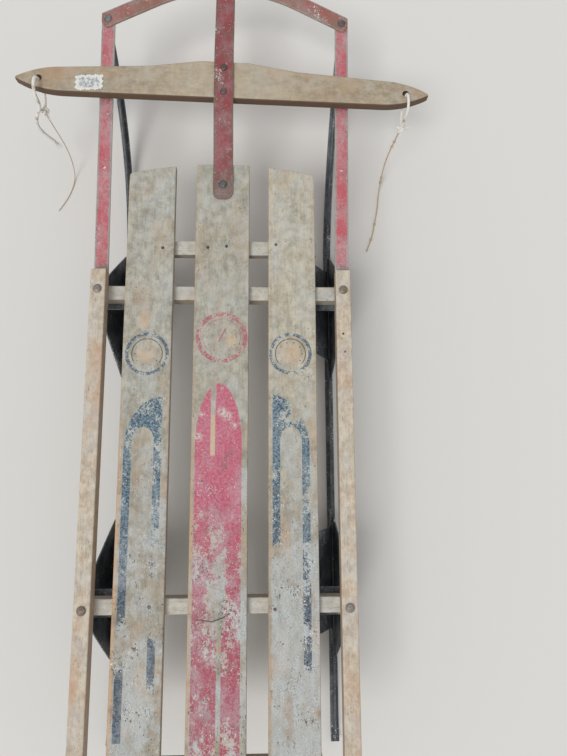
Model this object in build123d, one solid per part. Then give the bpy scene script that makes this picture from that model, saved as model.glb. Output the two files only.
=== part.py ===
from build123d import *
import math
import os

# A child's steerable snow sled: a wooden deck on two cross benches, four pressed
# steel knees, two steel runners that curl up in front, and a wooden steering bar
# that bends the runner fronts through a flat steel bumper.
# Millimetres. +X is the rider's right, +Y is forward, +Z is up out of the deck.
# The floor under the runners is z = 0, and the overall box is centred on x = y = 0.
# Lengths named "ahead" are measured forward from the middle of the front bench.

# Heights
deck_height = 150.0
running_gap = 0.3

# Deck slats
slat_thickness = 10.5
slat_edge_round = 1.5
centre_slat_width = 75.0
side_slat_width = 65.3
left_slat_x = -99.8
right_slat_x = 97.2
centre_slat_ahead = 188.0
side_slat_ahead = 185.0
side_slat_end_drop = 4.5
side_slat_outer_drop = 11.0
side_slat_corner = 6.0
slat_rear = -632.0
slat_end_corner = 3.0

# Cross benches and cleats under the deck
bench_spacing = 416.0
bench_width = 20.0
bench_depth = 22.0
cleat_width = 20.0
cleat_depth = 12.7
cleat_length = 264.0
front_cleat_ahead = 66.0
rear_cleat_ahead = -606.0

# Side rails, which stand on the bench ends
rail_x = 167.5
rail_width = 21.0
rail_height = 19.0
rail_round = 2.0
rail_ahead = 28.0
rail_rear = -640.0
rail_rebate_rear = -27.0

# Side straps of flat steel, splayed outwards to the bumper
strap_width = 19.5
strap_thickness = 3.0
strap_tail = 22.0
strap_nose = 12.5
strap_nose_corner = 6.5
strap_hole_ahead = 186.0
strap_hole_radius = 2.5

# Bumper strip: straight ends that lean in to one wide arc
bumper_rivet_x = 175.3
bumper_rivet_ahead = 423.5
bumper_width = 24.0
bumper_thickness = 3.0
bumper_lean = 27.5
bumper_arc_radius = 235.0
bumper_end_overhang = 9.2
bumper_point_drop = 16.0
bumper_shoulder_drop = 5.3

# Steering lever: a steel tiller strap on top of the deck and a wooden bar
pivot_ahead = 156.0
tiller_width = 28.0
tiller_thickness = 3.0
tiller_tail = 21.5
tiller_nose = 14.0
tiller_corner = 10.0
tiller_rise_start = 192.0
tiller_bar_start = 274.0
tiller_bar_end = 354.0
tiller_drop_end = 452.0
tiller_bend_radius = 40.0
bar_thickness = 14.0
bar_clearance = 5.2
bar_half_length = 301.4
bar_rear_ahead = 284.5
bar_turn_line = 30.0
bar_skew = -1.7
bar_edge_round = 3.0
bar_shoulder_round = 58.0
bar_tip_length = 69.4
bar_tip_width = 40.0
bar_tip_ahead = 20.0
bar_tip_belly = 5.0
bar_tip_round = 2.5
bar_rivet_ahead = (293.0, 331.0)
cord_hole_from_tip = 36.4
cord_hole_ahead = 19.5
cord_hole_radius = 5.0
# Bar outline up to its tips, as (distance from the middle, width there)
bar_widths = ((36.0, 59.0), (105.0, 48.0), (160.0, 44.5))

# Runners: a T section with its flat foot on the snow
runner_x = 163.0
runner_foot_width = 12.0
runner_foot_thickness = 3.0
runner_web_thickness = 2.5
runner_height = 16.0
runner_rear = -637.0
runner_tail_length = 30.0
runner_tail_radius = 70.0
runner_joint_ahead = 118.0
runner_joint_gap = 1.2
runner_curl_radius = 300.0
runner_curl_angle = 52.0
runner_neck_radius = 22.0
runner_neck_flat = 10.0
runner_ear_width = 18.0
runner_ear_length = 28.0
web_end_drop = 30.0

# Knees: an outer leaf that folds in under the bench and a sloping inner brace
knee_sheet = 1.8
knee_top_x = 176.2
knee_flange_inner_x = 100.0
knee_bend_radius = 4.0
knee_foot_height = 20.0
knee_foot_bend = 30.0
knee_foot_gap = 0.2
brace_top_x = 112.0
brace_flange_inner_x = 98.0
brace_bend_radius = 8.0
rear_right_brace_slip = 14.0
# Knee outlines, as (half length along the sled, share of the bench's height)
leaf_outline = ((17.0, 1.0), (20.0, 0.945), (50.0, 0.68), (75.0, 0.425), (99.0, 0.17), (100.0, 0.0))
brace_outline = ((17.0, 1.0), (70.0, 0.56), (72.0, 0.18), (99.0, 0.165), (99.0, 0.0))
knee_outline_round = 12.0

# Bolts and rivets
bolt_radius = 2.5
bolt_hole_gap = 0.3
bolt_head_radius = 6.0
bolt_head_height = 3.0
nut_across_flats = 8.0
nut_height = 4.5
nut_turn = 30.0
rivet_radius = 3.0
rivet_fit = 0.1
rivet_head_radius = 6.0
rivet_head_height = 2.8
rivet_tail_height = 2.2
bar_rivet_head_radius = 5.3
bumper_rivet_play = 1.3

# Pull cord remnants, all limp: diameters, then points as (x, y, z) from the hole's
# middle at the floor. A cord lies against the rear of its hole, and starts there in
# the middle of the bar's thickness.
left_cord_diameter = 5.0
right_cord_diameter = 4.0
thread_diameter = 1.5
string_diameter = 2.2
cord_arc_share = 0.45
left_knot_radius = 7.5
right_knot_radius = 6.0
knot_waist = 0.85
left_knot_place = (-1.5, -32.0, 131.0)
right_knot_place = (-0.5, -32.0, 127.0)
cord_start_height = 155.0
left_cord_start = (0.0, -2.2, cord_start_height)
right_cord_start = (0.0, -2.7, cord_start_height)
left_over_points = (
    left_cord_start, (0.0, -2.2, 175.0), (-1.0, -30.0, 174.0), (-1.5, -33.0, 142.0),
    (-12.0, -35.0, 126.0), (-14.0, -37.0, 105.0), (-8.0, -39.0, 84.0), (-2.0, -39.0, 68.0),
)
left_under_points = (left_cord_start, (0.0, -2.2, 132.0), (-1.0, -26.0, 130.0))
left_thread_points = (
    (1.5, -36.0, 126.0), (4.0, -40.0, 100.0), (7.0, -44.0, 66.0), (7.0, -50.0, 32.0),
    (5.0, -64.0, 3.0), (1.0, -86.0, 0.9), (-8.0, -108.0, 0.9), (-20.0, -126.0, 0.9),
)
right_over_points = (
    right_cord_start, (0.0, -2.7, 174.0), (1.0, -29.0, 173.0), (0.0, -33.0, 142.0),
    (-1.0, -33.5, 126.0),
)
right_under_points = (right_cord_start, (0.0, -2.7, 130.0), (0.0, -27.0, 127.0))
right_string_points = (
    (-1.0, -33.5, 124.5), (-5.0, -38.0, 92.0), (-8.0, -42.0, 60.0), (-9.0, -50.0, 28.0),
    (-11.0, -72.0, 2.5), (-13.0, -100.0, 1.2), (-19.0, -128.0, 1.2), (-24.0, -154.0, 1.2),
    (-34.0, -178.0, 1.2),
)

# Worked out from the sizes above
bumper_slope = math.radians(bumper_lean)
bumper_arc_x = bumper_arc_radius * math.sin(bumper_slope)
bumper_arc_ahead = bumper_rivet_ahead + (bumper_rivet_x - bumper_arc_x) * math.tan(bumper_slope)
bumper_centre_ahead = bumper_arc_ahead + bumper_arc_radius * (1 - math.cos(bumper_slope))
front_reach = bumper_centre_ahead + tiller_nose
front_bench_y = -(front_reach + rail_rear) / 2
rear_bench_ahead = -bench_spacing
deck_rear_y = front_bench_y + slat_rear
slat_bottom = deck_height - slat_thickness
bench_bottom = slat_bottom - bench_depth
rail_top = slat_bottom + rail_height
strap_bottom = slat_bottom + running_gap
strap_top = strap_bottom + strap_thickness
bumper_bottom = strap_top + running_gap
bumper_top = bumper_bottom + bumper_thickness
bar_bottom = strap_top + bar_clearance
bar_top = bar_bottom + bar_thickness
tiller_deck_bottom = deck_height + running_gap
tiller_nose_bottom = bumper_top + running_gap
above_all = 2 * deck_height
cord_hole_x = bar_half_length - cord_hole_from_tip

os.makedirs("parts", exist_ok=True)


def ahead(distance):
    """The y of a place that far forward of the front bench."""
    return front_bench_y + distance


def near(value, target):
    """Whether two places agree, to within the running gap."""
    return abs(value - target) < running_gap


def save(name, solid):
    """Write one piece to its own file."""
    export_step(solid, f"parts/{name}.step")


def both_sides(name, right_solid):
    """Save a right-hand piece and its mirror image on the left."""
    save(f"{name}_right", right_solid)
    save(f"{name}_left", mirror(right_solid, about=Plane.YZ))


def block(x, y_rear, y_front, z_bottom, z_top, width):
    """A bar along Y: its middle at x, its faces at the given limits."""
    middle = Pos(x, (y_rear + y_front) / 2, (z_bottom + z_top) / 2)
    return middle * Box(width, y_front - y_rear, z_top - z_bottom)


def upright(x, y, z_bottom, z_top, radius):
    """A round pin or hole cutter that stands at x, y."""
    return Pos(x, y, (z_bottom + z_top) / 2) * Cylinder(radius, z_top - z_bottom)


def head(x, y, z, radius, height):
    """A low rivet or bolt head that sits on z, sloped in from its rim to its flat top."""
    rim = height / 3
    slope = Cone(radius, radius / 2, height - rim)
    return upright(x, y, z, z + rim, radius) + Pos(x, y, z + (rim + height) / 2) * slope


def plate(sketch, z_bottom, thickness):
    """A flat sketch seen from above, given its thickness."""
    return extrude(Pos(0, 0, z_bottom) * sketch, amount=thickness)


def ease_top(slat):
    """A slat with its long top edges rounded."""
    top_edges = slat.edges().filter_by(Axis.Y).filter_by(lambda edge: near(edge.center().Z, deck_height))
    return fillet(top_edges, slat_edge_round)


def side_slat(x, outward):
    """A deck slat whose ends fall back towards its outer edge. outward is -1 or 1."""
    inner = x - outward * side_slat_width / 2
    outer = x + outward * side_slat_width / 2
    front = ahead(side_slat_ahead)
    corners = (
        (inner, deck_rear_y), (inner, front),
        (x, front - side_slat_end_drop), (outer, front - side_slat_outer_drop),
        (outer, deck_rear_y + side_slat_outer_drop), (x, deck_rear_y + side_slat_end_drop),
    )
    outline = make_face(Polyline(*corners, close=True))
    outer_corners = outline.vertices().filter_by(lambda corner: near(corner.X, outer))
    outline = fillet(outer_corners, side_slat_corner)
    return ease_top(plate(outline, slat_bottom, slat_thickness))


def centre_slat():
    """The middle slat, with the hole for the steering pivot."""
    length = ahead(centre_slat_ahead) - deck_rear_y
    outline = Pos(0, deck_rear_y + length / 2) * RectangleRounded(centre_slat_width, length, slat_end_corner)
    solid = ease_top(plate(outline, slat_bottom, slat_thickness))
    return solid - upright(0, ahead(pivot_ahead), slat_bottom, deck_height, rivet_radius + rivet_fit)


def cleat(distance):
    """A short cross strip nailed under the three slats."""
    rear = ahead(distance) - cleat_width / 2
    return block(0, rear, rear + cleat_width, slat_bottom - cleat_depth, slat_bottom, cleat_length)


def bench(distance):
    """A cross bench that carries slats and rails, bored for the rail bolts."""
    rear = ahead(distance) - bench_width / 2
    solid = block(0, rear, rear + bench_width, bench_bottom, slat_bottom, 2 * rail_x + rail_width)
    solid = fillet(solid.edges().filter_by(Axis.X), slat_edge_round)
    for side in (-1, 1):
        bore = upright(side * rail_x, ahead(distance), bench_bottom, slat_bottom, bolt_radius + bolt_hole_gap)
        solid -= bore
    return solid


def rail():
    """The right side rail, rebated underneath for the strap."""
    solid = block(rail_x, ahead(rail_rear), ahead(rail_ahead), slat_bottom, rail_top, rail_width)
    solid = fillet(solid.edges().filter_by(Axis.Y), rail_round)
    rebate_top = strap_top + running_gap
    solid -= block(rail_x, ahead(rail_rebate_rear), ahead(rail_ahead), slat_bottom, rebate_top, rail_width)
    for distance in (0, rear_bench_ahead):
        solid -= upright(rail_x, ahead(distance), slat_bottom, rail_top, bolt_radius + bolt_hole_gap)
    return solid


def rail_bolt(side, distance):
    """A bolt through rail, bench and knee, with its nut below."""
    x = side * rail_x
    y = ahead(distance)
    nut_top = bench_bottom - knee_sheet
    shank = upright(x, y, nut_top - nut_height, rail_top, bolt_radius)
    hexagon = RegularPolygon(nut_across_flats / 2, 6, major_radius=False, rotation=nut_turn)
    nut = plate(Pos(x, y) * hexagon, nut_top - nut_height, nut_height)
    return shank + nut + head(x, y, rail_top, bolt_head_radius, bolt_head_height)


def sheet_profile(points, radii):
    """A bent sheet seen along the sled, longer than any knee."""
    line = FilletPolyline(*points, radius=radii)
    reach = 2 * max(half for half, _ in leaf_outline)
    return extrude(Plane.XZ * trace(line, line_width=knee_sheet), amount=reach, both=True)


def knee_prism(outline):
    """The side outline of a knee, with its bends rounded, as a prism across the sled."""
    front = [(half, share * bench_bottom) for half, share in outline]
    rear = [(-half, height) for half, height in reversed(front)]
    face = make_face(Polyline(*front, *rear, close=True))
    bend_heights = [height for _, height in front[1:-2]]
    bends = face.vertices().filter_by(lambda corner: any(near(corner.Y, height) for height in bend_heights))
    return extrude(Plane.YZ * fillet(bends, knee_outline_round), amount=knee_top_x + knee_sheet)


def knee_leaf(distance):
    """The upright leaf of a knee, folded in under the bench."""
    foot_x = runner_x + (runner_web_thickness + knee_sheet) / 2
    top_z = bench_bottom - knee_sheet / 2
    points = (
        (foot_x, runner_foot_thickness + knee_foot_gap), (foot_x, knee_foot_height),
        (knee_top_x, top_z), (knee_flange_inner_x, top_z),
    )
    solid = sheet_profile(points, [knee_foot_bend, knee_bend_radius]) & knee_prism(leaf_outline)
    solid -= upright(rail_x, 0, top_z - knee_sheet, bench_bottom, bolt_radius + bolt_hole_gap)
    return Pos(0, ahead(distance), 0) * solid


def knee_brace(distance):
    """The sloping inner sheet of a knee, from under the leaf's flange to the runner's web."""
    foot_x = runner_x - (runner_web_thickness + knee_sheet) / 2
    top_z = bench_bottom - knee_sheet - knee_sheet / 2
    points = (
        (brace_flange_inner_x, top_z), (brace_top_x, top_z),
        (foot_x, knee_foot_height), (foot_x, runner_foot_thickness + knee_foot_gap),
    )
    solid = sheet_profile(points, [brace_bend_radius, knee_foot_bend]) & knee_prism(brace_outline)
    return Pos(0, ahead(distance), 0) * solid


def runner_section(y, width, bottom, top):
    """A rectangle of the runner's section, across X and up Z."""
    return Pos(0, y, (bottom + top) / 2) * (Plane.XZ * Rectangle(width, top - bottom))


def runner():
    """The straight part of the right runner, turned up a little behind."""
    rear_end = ahead(runner_rear)
    front_end = ahead(runner_joint_ahead) - runner_joint_gap / 2
    tail_start = rear_end + runner_tail_length
    swing = math.degrees(runner_tail_length / runner_tail_radius)
    axis = Axis((0, tail_start, runner_tail_radius), (1, 0, 0))
    rows = (
        (runner_foot_width, 0, runner_foot_thickness),
        (runner_web_thickness, runner_foot_thickness, runner_height),
    )
    straight = [block(0, tail_start, front_end, bottom, top, width) for width, bottom, top in rows]
    tail = [
        revolve(runner_section(tail_start, width, bottom, top), axis=axis, revolution_arc=-swing)
        for width, bottom, top in rows
    ]
    return Pos(runner_x, 0, 0) * (straight[0] + straight[1] + tail[0] + tail[1])


def runner_front():
    """The right runner's curl, built straight ahead and then splayed outwards."""
    splay_x = bumper_rivet_x - runner_x
    splay_ahead = bumper_rivet_ahead - runner_joint_ahead
    reach = math.hypot(splay_x, splay_ahead)
    splay = -math.degrees(math.atan2(splay_x, splay_ahead))
    start = runner_joint_gap / 2
    foot_z = runner_foot_thickness / 2
    ear_z = strap_bottom - running_gap - foot_z
    slope = math.radians(runner_curl_angle)
    neck_corner = reach - runner_neck_flat - runner_neck_radius * math.tan(slope / 2)
    curl_corner = neck_corner - (ear_z - foot_z) / math.tan(slope)
    path = FilletPolyline(
        (0, start, foot_z), (0, curl_corner, foot_z), (0, neck_corner, ear_z), (0, reach, ear_z),
        radius=[runner_curl_radius, runner_neck_radius],
    )
    foot = sweep(runner_section(start, runner_foot_width, 0, runner_foot_thickness), path=path)
    web = sweep(runner_section(start, runner_web_thickness, runner_foot_thickness, runner_height), path=path)
    web -= block(0, 0, 2 * reach, ear_z - web_end_drop, above_all, runner_foot_width)
    ear_outline = Pos(0, reach) * SlotOverall(runner_ear_length, runner_ear_width, rotation=90)
    ear = plate(ear_outline, ear_z - foot_z, runner_foot_thickness)
    hole = upright(0, reach, ear_z - foot_z, ear_z + foot_z, rivet_radius + bumper_rivet_play)
    return Pos(runner_x, ahead(runner_joint_ahead), 0) * (Rot(0, 0, splay) * (foot + web + ear - hole))


def strap():
    """The right side strap, from under the rail to the bumper."""
    splay_x = bumper_rivet_x - rail_x
    reach = math.hypot(splay_x, bumper_rivet_ahead)
    splay = -math.degrees(math.atan2(splay_x, bumper_rivet_ahead))
    length = strap_tail + reach + strap_nose
    outline = Pos(0, length / 2 - strap_tail) * Rectangle(strap_width, length)
    nose_corners = outline.vertices().sort_by(Axis.Y)[-2:]
    outline = fillet(nose_corners, strap_nose_corner)
    outline -= Circle(bolt_radius + bolt_hole_gap)
    outline -= Pos(0, strap_hole_ahead) * Circle(strap_hole_radius)
    outline -= Pos(0, reach) * Circle(rivet_radius + rivet_fit)
    return Pos(rail_x, ahead(0), 0) * (Rot(0, 0, splay) * plate(outline, strap_bottom, strap_thickness))


def bumper_rivet():
    """The rivet that joins bumper, strap and runner ear, carried by the strap."""
    x = bumper_rivet_x
    y = ahead(bumper_rivet_ahead)
    ear_bottom = strap_bottom - running_gap - runner_foot_thickness
    tail_top = ear_bottom - running_gap
    head_bottom = bumper_top + running_gap
    shank = upright(x, y, tail_top - rivet_tail_height, head_bottom, rivet_radius)
    tail = upright(x, y, tail_top - rivet_tail_height, tail_top, rivet_head_radius)
    return shank + tail + head(x, y, head_bottom, rivet_head_radius, rivet_head_height)


def bumper():
    """The arched flat strip, its two ends cut to blunt points over the straps."""
    cut_x = bumper_rivet_x + bumper_width
    cut_ahead = bumper_rivet_ahead - bumper_width * math.tan(bumper_slope)
    apex_ahead = bumper_rivet_ahead + bumper_rivet_x * math.tan(bumper_slope)
    path = FilletPolyline((-cut_x, cut_ahead), (0, apex_ahead), (cut_x, cut_ahead), radius=bumper_arc_radius)
    strip = plate(trace(path, line_width=bumper_width), bumper_bottom, bumper_thickness)
    side_x = bumper_rivet_x + bumper_end_overhang
    point_ahead = bumper_rivet_ahead - bumper_point_drop
    shoulder_ahead = bumper_rivet_ahead - bumper_shoulder_drop
    front_ahead = front_reach + bumper_width
    ends = Polyline(
        (-side_x, front_ahead), (-side_x, shoulder_ahead), (-bumper_rivet_x, point_ahead),
        (bumper_rivet_x, point_ahead), (side_x, shoulder_ahead), (side_x, front_ahead), close=True,
    )
    solid = strip & plate(make_face(ends), bumper_bottom, bumper_thickness)
    for side in (-1, 1):
        play = rivet_radius + bumper_rivet_play
        solid -= upright(side * bumper_rivet_x, bumper_rivet_ahead, bumper_bottom, bumper_top, play)
    solid -= upright(0, bumper_centre_ahead, bumper_bottom, bumper_top, rivet_radius + running_gap)
    return Pos(0, front_bench_y, 0) * solid


def tiller():
    """The steering strap: flat on the deck, up over the bar and down to the bumper."""
    half = tiller_thickness / 2
    deck_z = tiller_deck_bottom + half
    bar_z = bar_top + half
    nose_z = tiller_nose_bottom + half
    rear = pivot_ahead - tiller_tail
    line = FilletPolyline(
        (rear, deck_z), (tiller_rise_start, deck_z), (tiller_bar_start, bar_z), (tiller_bar_end, bar_z),
        (tiller_drop_end, nose_z), (front_reach, nose_z), radius=tiller_bend_radius,
    )
    side_view = extrude(Plane.YZ * trace(line, line_width=tiller_thickness), amount=tiller_width, both=True)
    middle = Pos(0, (rear + front_reach) / 2)
    outline = middle * RectangleRounded(tiller_width, front_reach - rear, tiller_corner)
    solid = side_view & plate(outline, 0, above_all)
    for distance in (pivot_ahead, *bar_rivet_ahead, bumper_centre_ahead):
        solid -= upright(0, distance, 0, above_all, rivet_radius + rivet_fit)
    return Pos(0, front_bench_y, 0) * solid


def on_bar(x, distance):
    """A place on the skewed steering bar, as x and y in the sled's frame."""
    turn = math.radians(bar_skew)
    along = distance - bar_turn_line
    return (
        x * math.cos(turn) - along * math.sin(turn),
        ahead(bar_rear_ahead + bar_turn_line) + x * math.sin(turn) + along * math.cos(turn),
    )


def bar_outline():
    """The bar seen from above: straight behind, fuller in the middle, with pointed tips."""
    shoulder_x = bar_half_length - bar_tip_length
    belly_x = bar_half_length - bar_tip_length / 2
    tip = (bar_half_length, bar_tip_ahead)
    shoulder = (shoulder_x, bar_tip_width)
    right_half = make_face(Curve() + [
        Line((0, 0), (shoulder_x, 0)),
        ThreePointArc((shoulder_x, 0), (belly_x, bar_tip_belly), tip),
        ThreePointArc(tip, (belly_x, bar_tip_width - bar_tip_belly), shoulder),
        Polyline(shoulder, *reversed(bar_widths), (0, bar_widths[0][1]), (0, 0)),
    ])
    outline = right_half + mirror(right_half, about=Plane.YZ)
    front_corners = outline.vertices().filter_by(lambda corner: corner.Y > bar_tip_width + running_gap)
    shoulders = [corner for corner in front_corners if any(near(abs(corner.X), x) for x, _ in bar_widths)]
    outline = fillet(shoulders, bar_shoulder_round)
    tips = outline.vertices().filter_by(lambda corner: near(abs(corner.X), bar_half_length))
    return fillet(tips, bar_tip_round)


def steering_bar():
    """The wooden bar with eased rims, bored for its two rivets and the two pull cords."""
    solid = plate(Pos(0, -bar_turn_line) * bar_outline(), bar_bottom, bar_thickness)
    rims = [
        edge for edge in solid.edges()
        if near(edge.center().Z, bar_top) or near(edge.center().Z, bar_bottom)
    ]
    solid = Rot(0, 0, bar_skew) * fillet(rims, bar_edge_round)
    solid = Pos(0, ahead(bar_rear_ahead + bar_turn_line), 0) * solid
    for side in (-1, 1):
        x, y = on_bar(side * cord_hole_x, cord_hole_ahead)
        solid -= upright(x, y, bar_bottom, bar_top, cord_hole_radius)
    for distance in bar_rivet_ahead:
        solid -= upright(0, ahead(distance), bar_bottom, bar_top, rivet_radius + rivet_fit)
    return solid


def through_rivet(distance, bottom, top, head_gap, tail_gap, head_radius):
    """A rivet on the centre line, its formed head above and a flat one below."""
    y = ahead(distance)
    tail_top = bottom - tail_gap
    shank = upright(0, y, tail_top - rivet_tail_height, top + head_gap, rivet_radius)
    tail = upright(0, y, tail_top - rivet_tail_height, tail_top, head_radius)
    return shank + tail + head(0, y, top + head_gap, head_radius, rivet_head_height)


def cord_tube(name, diameter, points, hole_x):
    """A limp cord: straight runs joined by tangent arcs, each as large as they allow."""
    x, y = on_bar(hole_x, cord_hole_ahead)
    route = [Vector(x + px, y + py, pz) for px, py, pz in points]
    runs = [after - before for before, after in zip(route, route[1:])]
    radii = []
    for before, after in zip(runs, runs[1:]):
        turn = math.radians(before.get_angle(after))
        radii.append(cord_arc_share * min(before.length, after.length) / math.tan(turn / 2))
    path = FilletPolyline(*route, radius=radii)
    section = Plane(origin=route[0], z_dir=runs[0]) * Circle(diameter / 2)
    tube = sweep(section, path=path)
    share = tube.volume / (math.pi * diameter ** 2 / 4 * path.length)
    print(name, "length", round(path.length, 1), "volume share", round(share, 4))
    print("  radii", [round(radius, 1) for radius in radii])
    save(name, tube)


def knot(name, radius, place, hole_x):
    """A pulled-tight knot, as a barrel across the sled that its cords run into."""
    x, y = on_bar(hole_x, cord_hole_ahead)
    barrel = Cylinder(radius * knot_waist, 2 * radius)
    barrel = chamfer(barrel.edges(), radius / 3)
    save(name, Pos(x + place[0], y + place[1], place[2]) * (Rot(0, 90, 0) * barrel))


# Deck
save("slat_left", side_slat(left_slat_x, -1))
save("slat_centre", centre_slat())
save("slat_right", side_slat(right_slat_x, 1))
for name, distance in (("cleat_front", front_cleat_ahead), ("cleat_rear", rear_cleat_ahead)):
    save(name, cleat(distance))

# Frame. The rear right brace has slipped forward on the runner.
both_sides("rail", rail())
for name, distance in (("front", 0), ("rear", rear_bench_ahead)):
    save(f"bench_{name}", bench(distance))
    both_sides(f"knee_{name}", knee_leaf(distance))
both_sides("knee_brace_front", knee_brace(0))
save("knee_brace_rear_left", mirror(knee_brace(rear_bench_ahead), about=Plane.YZ))
save("knee_brace_rear_right", knee_brace(rear_bench_ahead + rear_right_brace_slip))
rail_bolts = [rail_bolt(side, distance) for side in (-1, 1) for distance in (0, rear_bench_ahead)]
save("rail_bolts", Compound(children=rail_bolts))

# Runners and side straps
both_sides("runner", runner())
both_sides("runner_front", runner_front())
both_sides("side_strap", strap())
both_sides("bumper_rivet", bumper_rivet())

# Steering
save("bumper", bumper())
save("tiller_strap", tiller())
save("steering_bar", steering_bar())
save("pivot_rivet", through_rivet(
    pivot_ahead, slat_bottom, tiller_deck_bottom + tiller_thickness, running_gap, 0, rivet_head_radius))
save("bumper_centre_rivet", through_rivet(
    bumper_centre_ahead, bumper_bottom, tiller_nose_bottom + tiller_thickness, 0, running_gap,
    rivet_head_radius))
bar_rivets = [
    through_rivet(distance, bar_bottom, bar_top + tiller_thickness, 0, 0, bar_rivet_head_radius)
    for distance in bar_rivet_ahead
]
save("bar_rivets", Compound(children=bar_rivets))

# What is left of the pull cord, as (node, diameter, points, side of the bar)
for name, diameter, points, side in (
    ("cord_left", left_cord_diameter, left_over_points, -1),
    ("cord_left_return", left_cord_diameter, left_under_points, -1),
    ("thread_left", thread_diameter, left_thread_points, -1),
    ("cord_right", right_cord_diameter, right_over_points, 1),
    ("cord_right_return", right_cord_diameter, right_under_points, 1),
    ("string_right", string_diameter, right_string_points, 1),
):
    cord_tube(name, diameter, points, side * cord_hole_x)
knot("knot_left", left_knot_radius, left_knot_place, -cord_hole_x)
knot("knot_right", right_knot_radius, right_knot_place, cord_hole_x)
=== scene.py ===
import math

import bpy
import numpy as np
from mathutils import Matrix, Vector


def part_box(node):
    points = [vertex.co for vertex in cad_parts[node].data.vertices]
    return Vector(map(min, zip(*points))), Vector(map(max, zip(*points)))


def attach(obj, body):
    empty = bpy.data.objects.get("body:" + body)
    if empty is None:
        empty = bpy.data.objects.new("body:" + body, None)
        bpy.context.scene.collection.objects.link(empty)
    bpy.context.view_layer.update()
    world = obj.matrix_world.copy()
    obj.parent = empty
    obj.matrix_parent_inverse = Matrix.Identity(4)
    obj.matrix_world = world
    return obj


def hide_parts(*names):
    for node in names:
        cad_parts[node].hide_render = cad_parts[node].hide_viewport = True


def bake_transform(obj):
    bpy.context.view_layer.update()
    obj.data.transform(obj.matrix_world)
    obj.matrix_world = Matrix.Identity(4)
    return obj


# A child's steerable snow sled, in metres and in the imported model's frame: +X is the
# rider's right, +Y is forward, +Z is up, and the runners stand on the floor at z = 0.
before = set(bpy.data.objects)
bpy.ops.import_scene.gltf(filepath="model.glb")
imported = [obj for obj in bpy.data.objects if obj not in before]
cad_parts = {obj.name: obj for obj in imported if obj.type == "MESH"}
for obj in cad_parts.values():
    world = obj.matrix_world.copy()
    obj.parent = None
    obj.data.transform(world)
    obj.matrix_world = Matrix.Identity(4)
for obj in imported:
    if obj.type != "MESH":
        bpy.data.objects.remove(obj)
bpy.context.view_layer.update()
scene = bpy.context.scene

# The camera looks down on the deck as one looks at a sled that hangs on a wall. Its
# lens is that of a phone: 568 pixels of focal length on a picture 756 pixels high.
photo_height_px = 756
focal_length_px = 568
film_height = 36.0


def add(name, data):
    """An object with the given mesh, lamp or lens, put in the scene."""
    thing = bpy.data.objects.new(name, data)
    scene.collection.objects.link(thing)
    return thing


lens = bpy.data.cameras.new("camera")
lens.sensor_fit = "VERTICAL"
lens.sensor_height = film_height
lens.lens = film_height * focal_length_px / photo_height_px
camera = add("camera", lens)
camera.location = (0.0601, -0.1730, 0.9073)
camera.rotation_euler = [math.radians(turn) for turn in (9.154, -1.842, -0.233)]
scene.camera = camera
scene.view_settings.view_transform = "Standard"

# The pull cord's remains: a limp white cotton cord through a hole near each end of the
# bar, knotted behind it. The left one ends in a frayed stub and a loose thread, and the
# right one goes on as a thin string. They hang from the bar and trail on the floor.
bar_middle = (0.0, 0.38509)
bar_skew = math.radians(-1.7)
cord_hole_across = 0.265
cord_hole_behind = -0.0105
cord_start_height = 0.155
lever_body = "steering_lever"


def from_hole(side, points):
    """Route points, given from a hole's middle at the floor, in the model's frame. The
    hole's place is given along the skewed bar, from its middle."""
    across = side * cord_hole_across
    cos, sin = math.cos(bar_skew), math.sin(bar_skew)
    hole = (
        bar_middle[0] + across * cos - cord_hole_behind * sin,
        bar_middle[1] + across * sin + cord_hole_behind * cos, 0.0)
    return np.array(points) + hole


def spline_path(points):
    """Points along the quadratic NURBS curve that has the route as its control points."""
    curve = bpy.data.curves.new("route", "CURVE")
    curve.dimensions = "3D"
    curve.resolution_u = 16
    spline = curve.splines.new("NURBS")
    spline.points.add(len(points) - 1)
    spline.points.foreach_set("co", np.column_stack([points, np.ones(len(points))]).ravel())
    spline.order_u = 3
    spline.use_endpoint_u = True
    carrier = bpy.data.objects.new("route", curve)
    line = bpy.data.meshes.new_from_object(carrier)
    places = np.empty(3 * len(line.vertices))
    line.vertices.foreach_get("co", places)
    bpy.data.objects.remove(carrier)
    bpy.data.curves.remove(curve)
    bpy.data.meshes.remove(line)
    return places.reshape(-1, 3)


def along(path):
    """The distance travelled at each point of a path."""
    return np.append(0.0, np.cumsum(np.linalg.norm(np.diff(path, axis=0), axis=1)))


def even(path, step):
    """A path's points again, at even steps."""
    travel = along(path)
    stations = np.linspace(0.0, travel[-1], max(int(travel[-1] / step), 2) + 1)
    return np.column_stack([np.interp(stations, travel, axis) for axis in path.T])


def unit(vectors):
    """The same directions, each with a length of 1."""
    return vectors / np.linalg.norm(vectors, axis=-1, keepdims=True)


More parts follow.
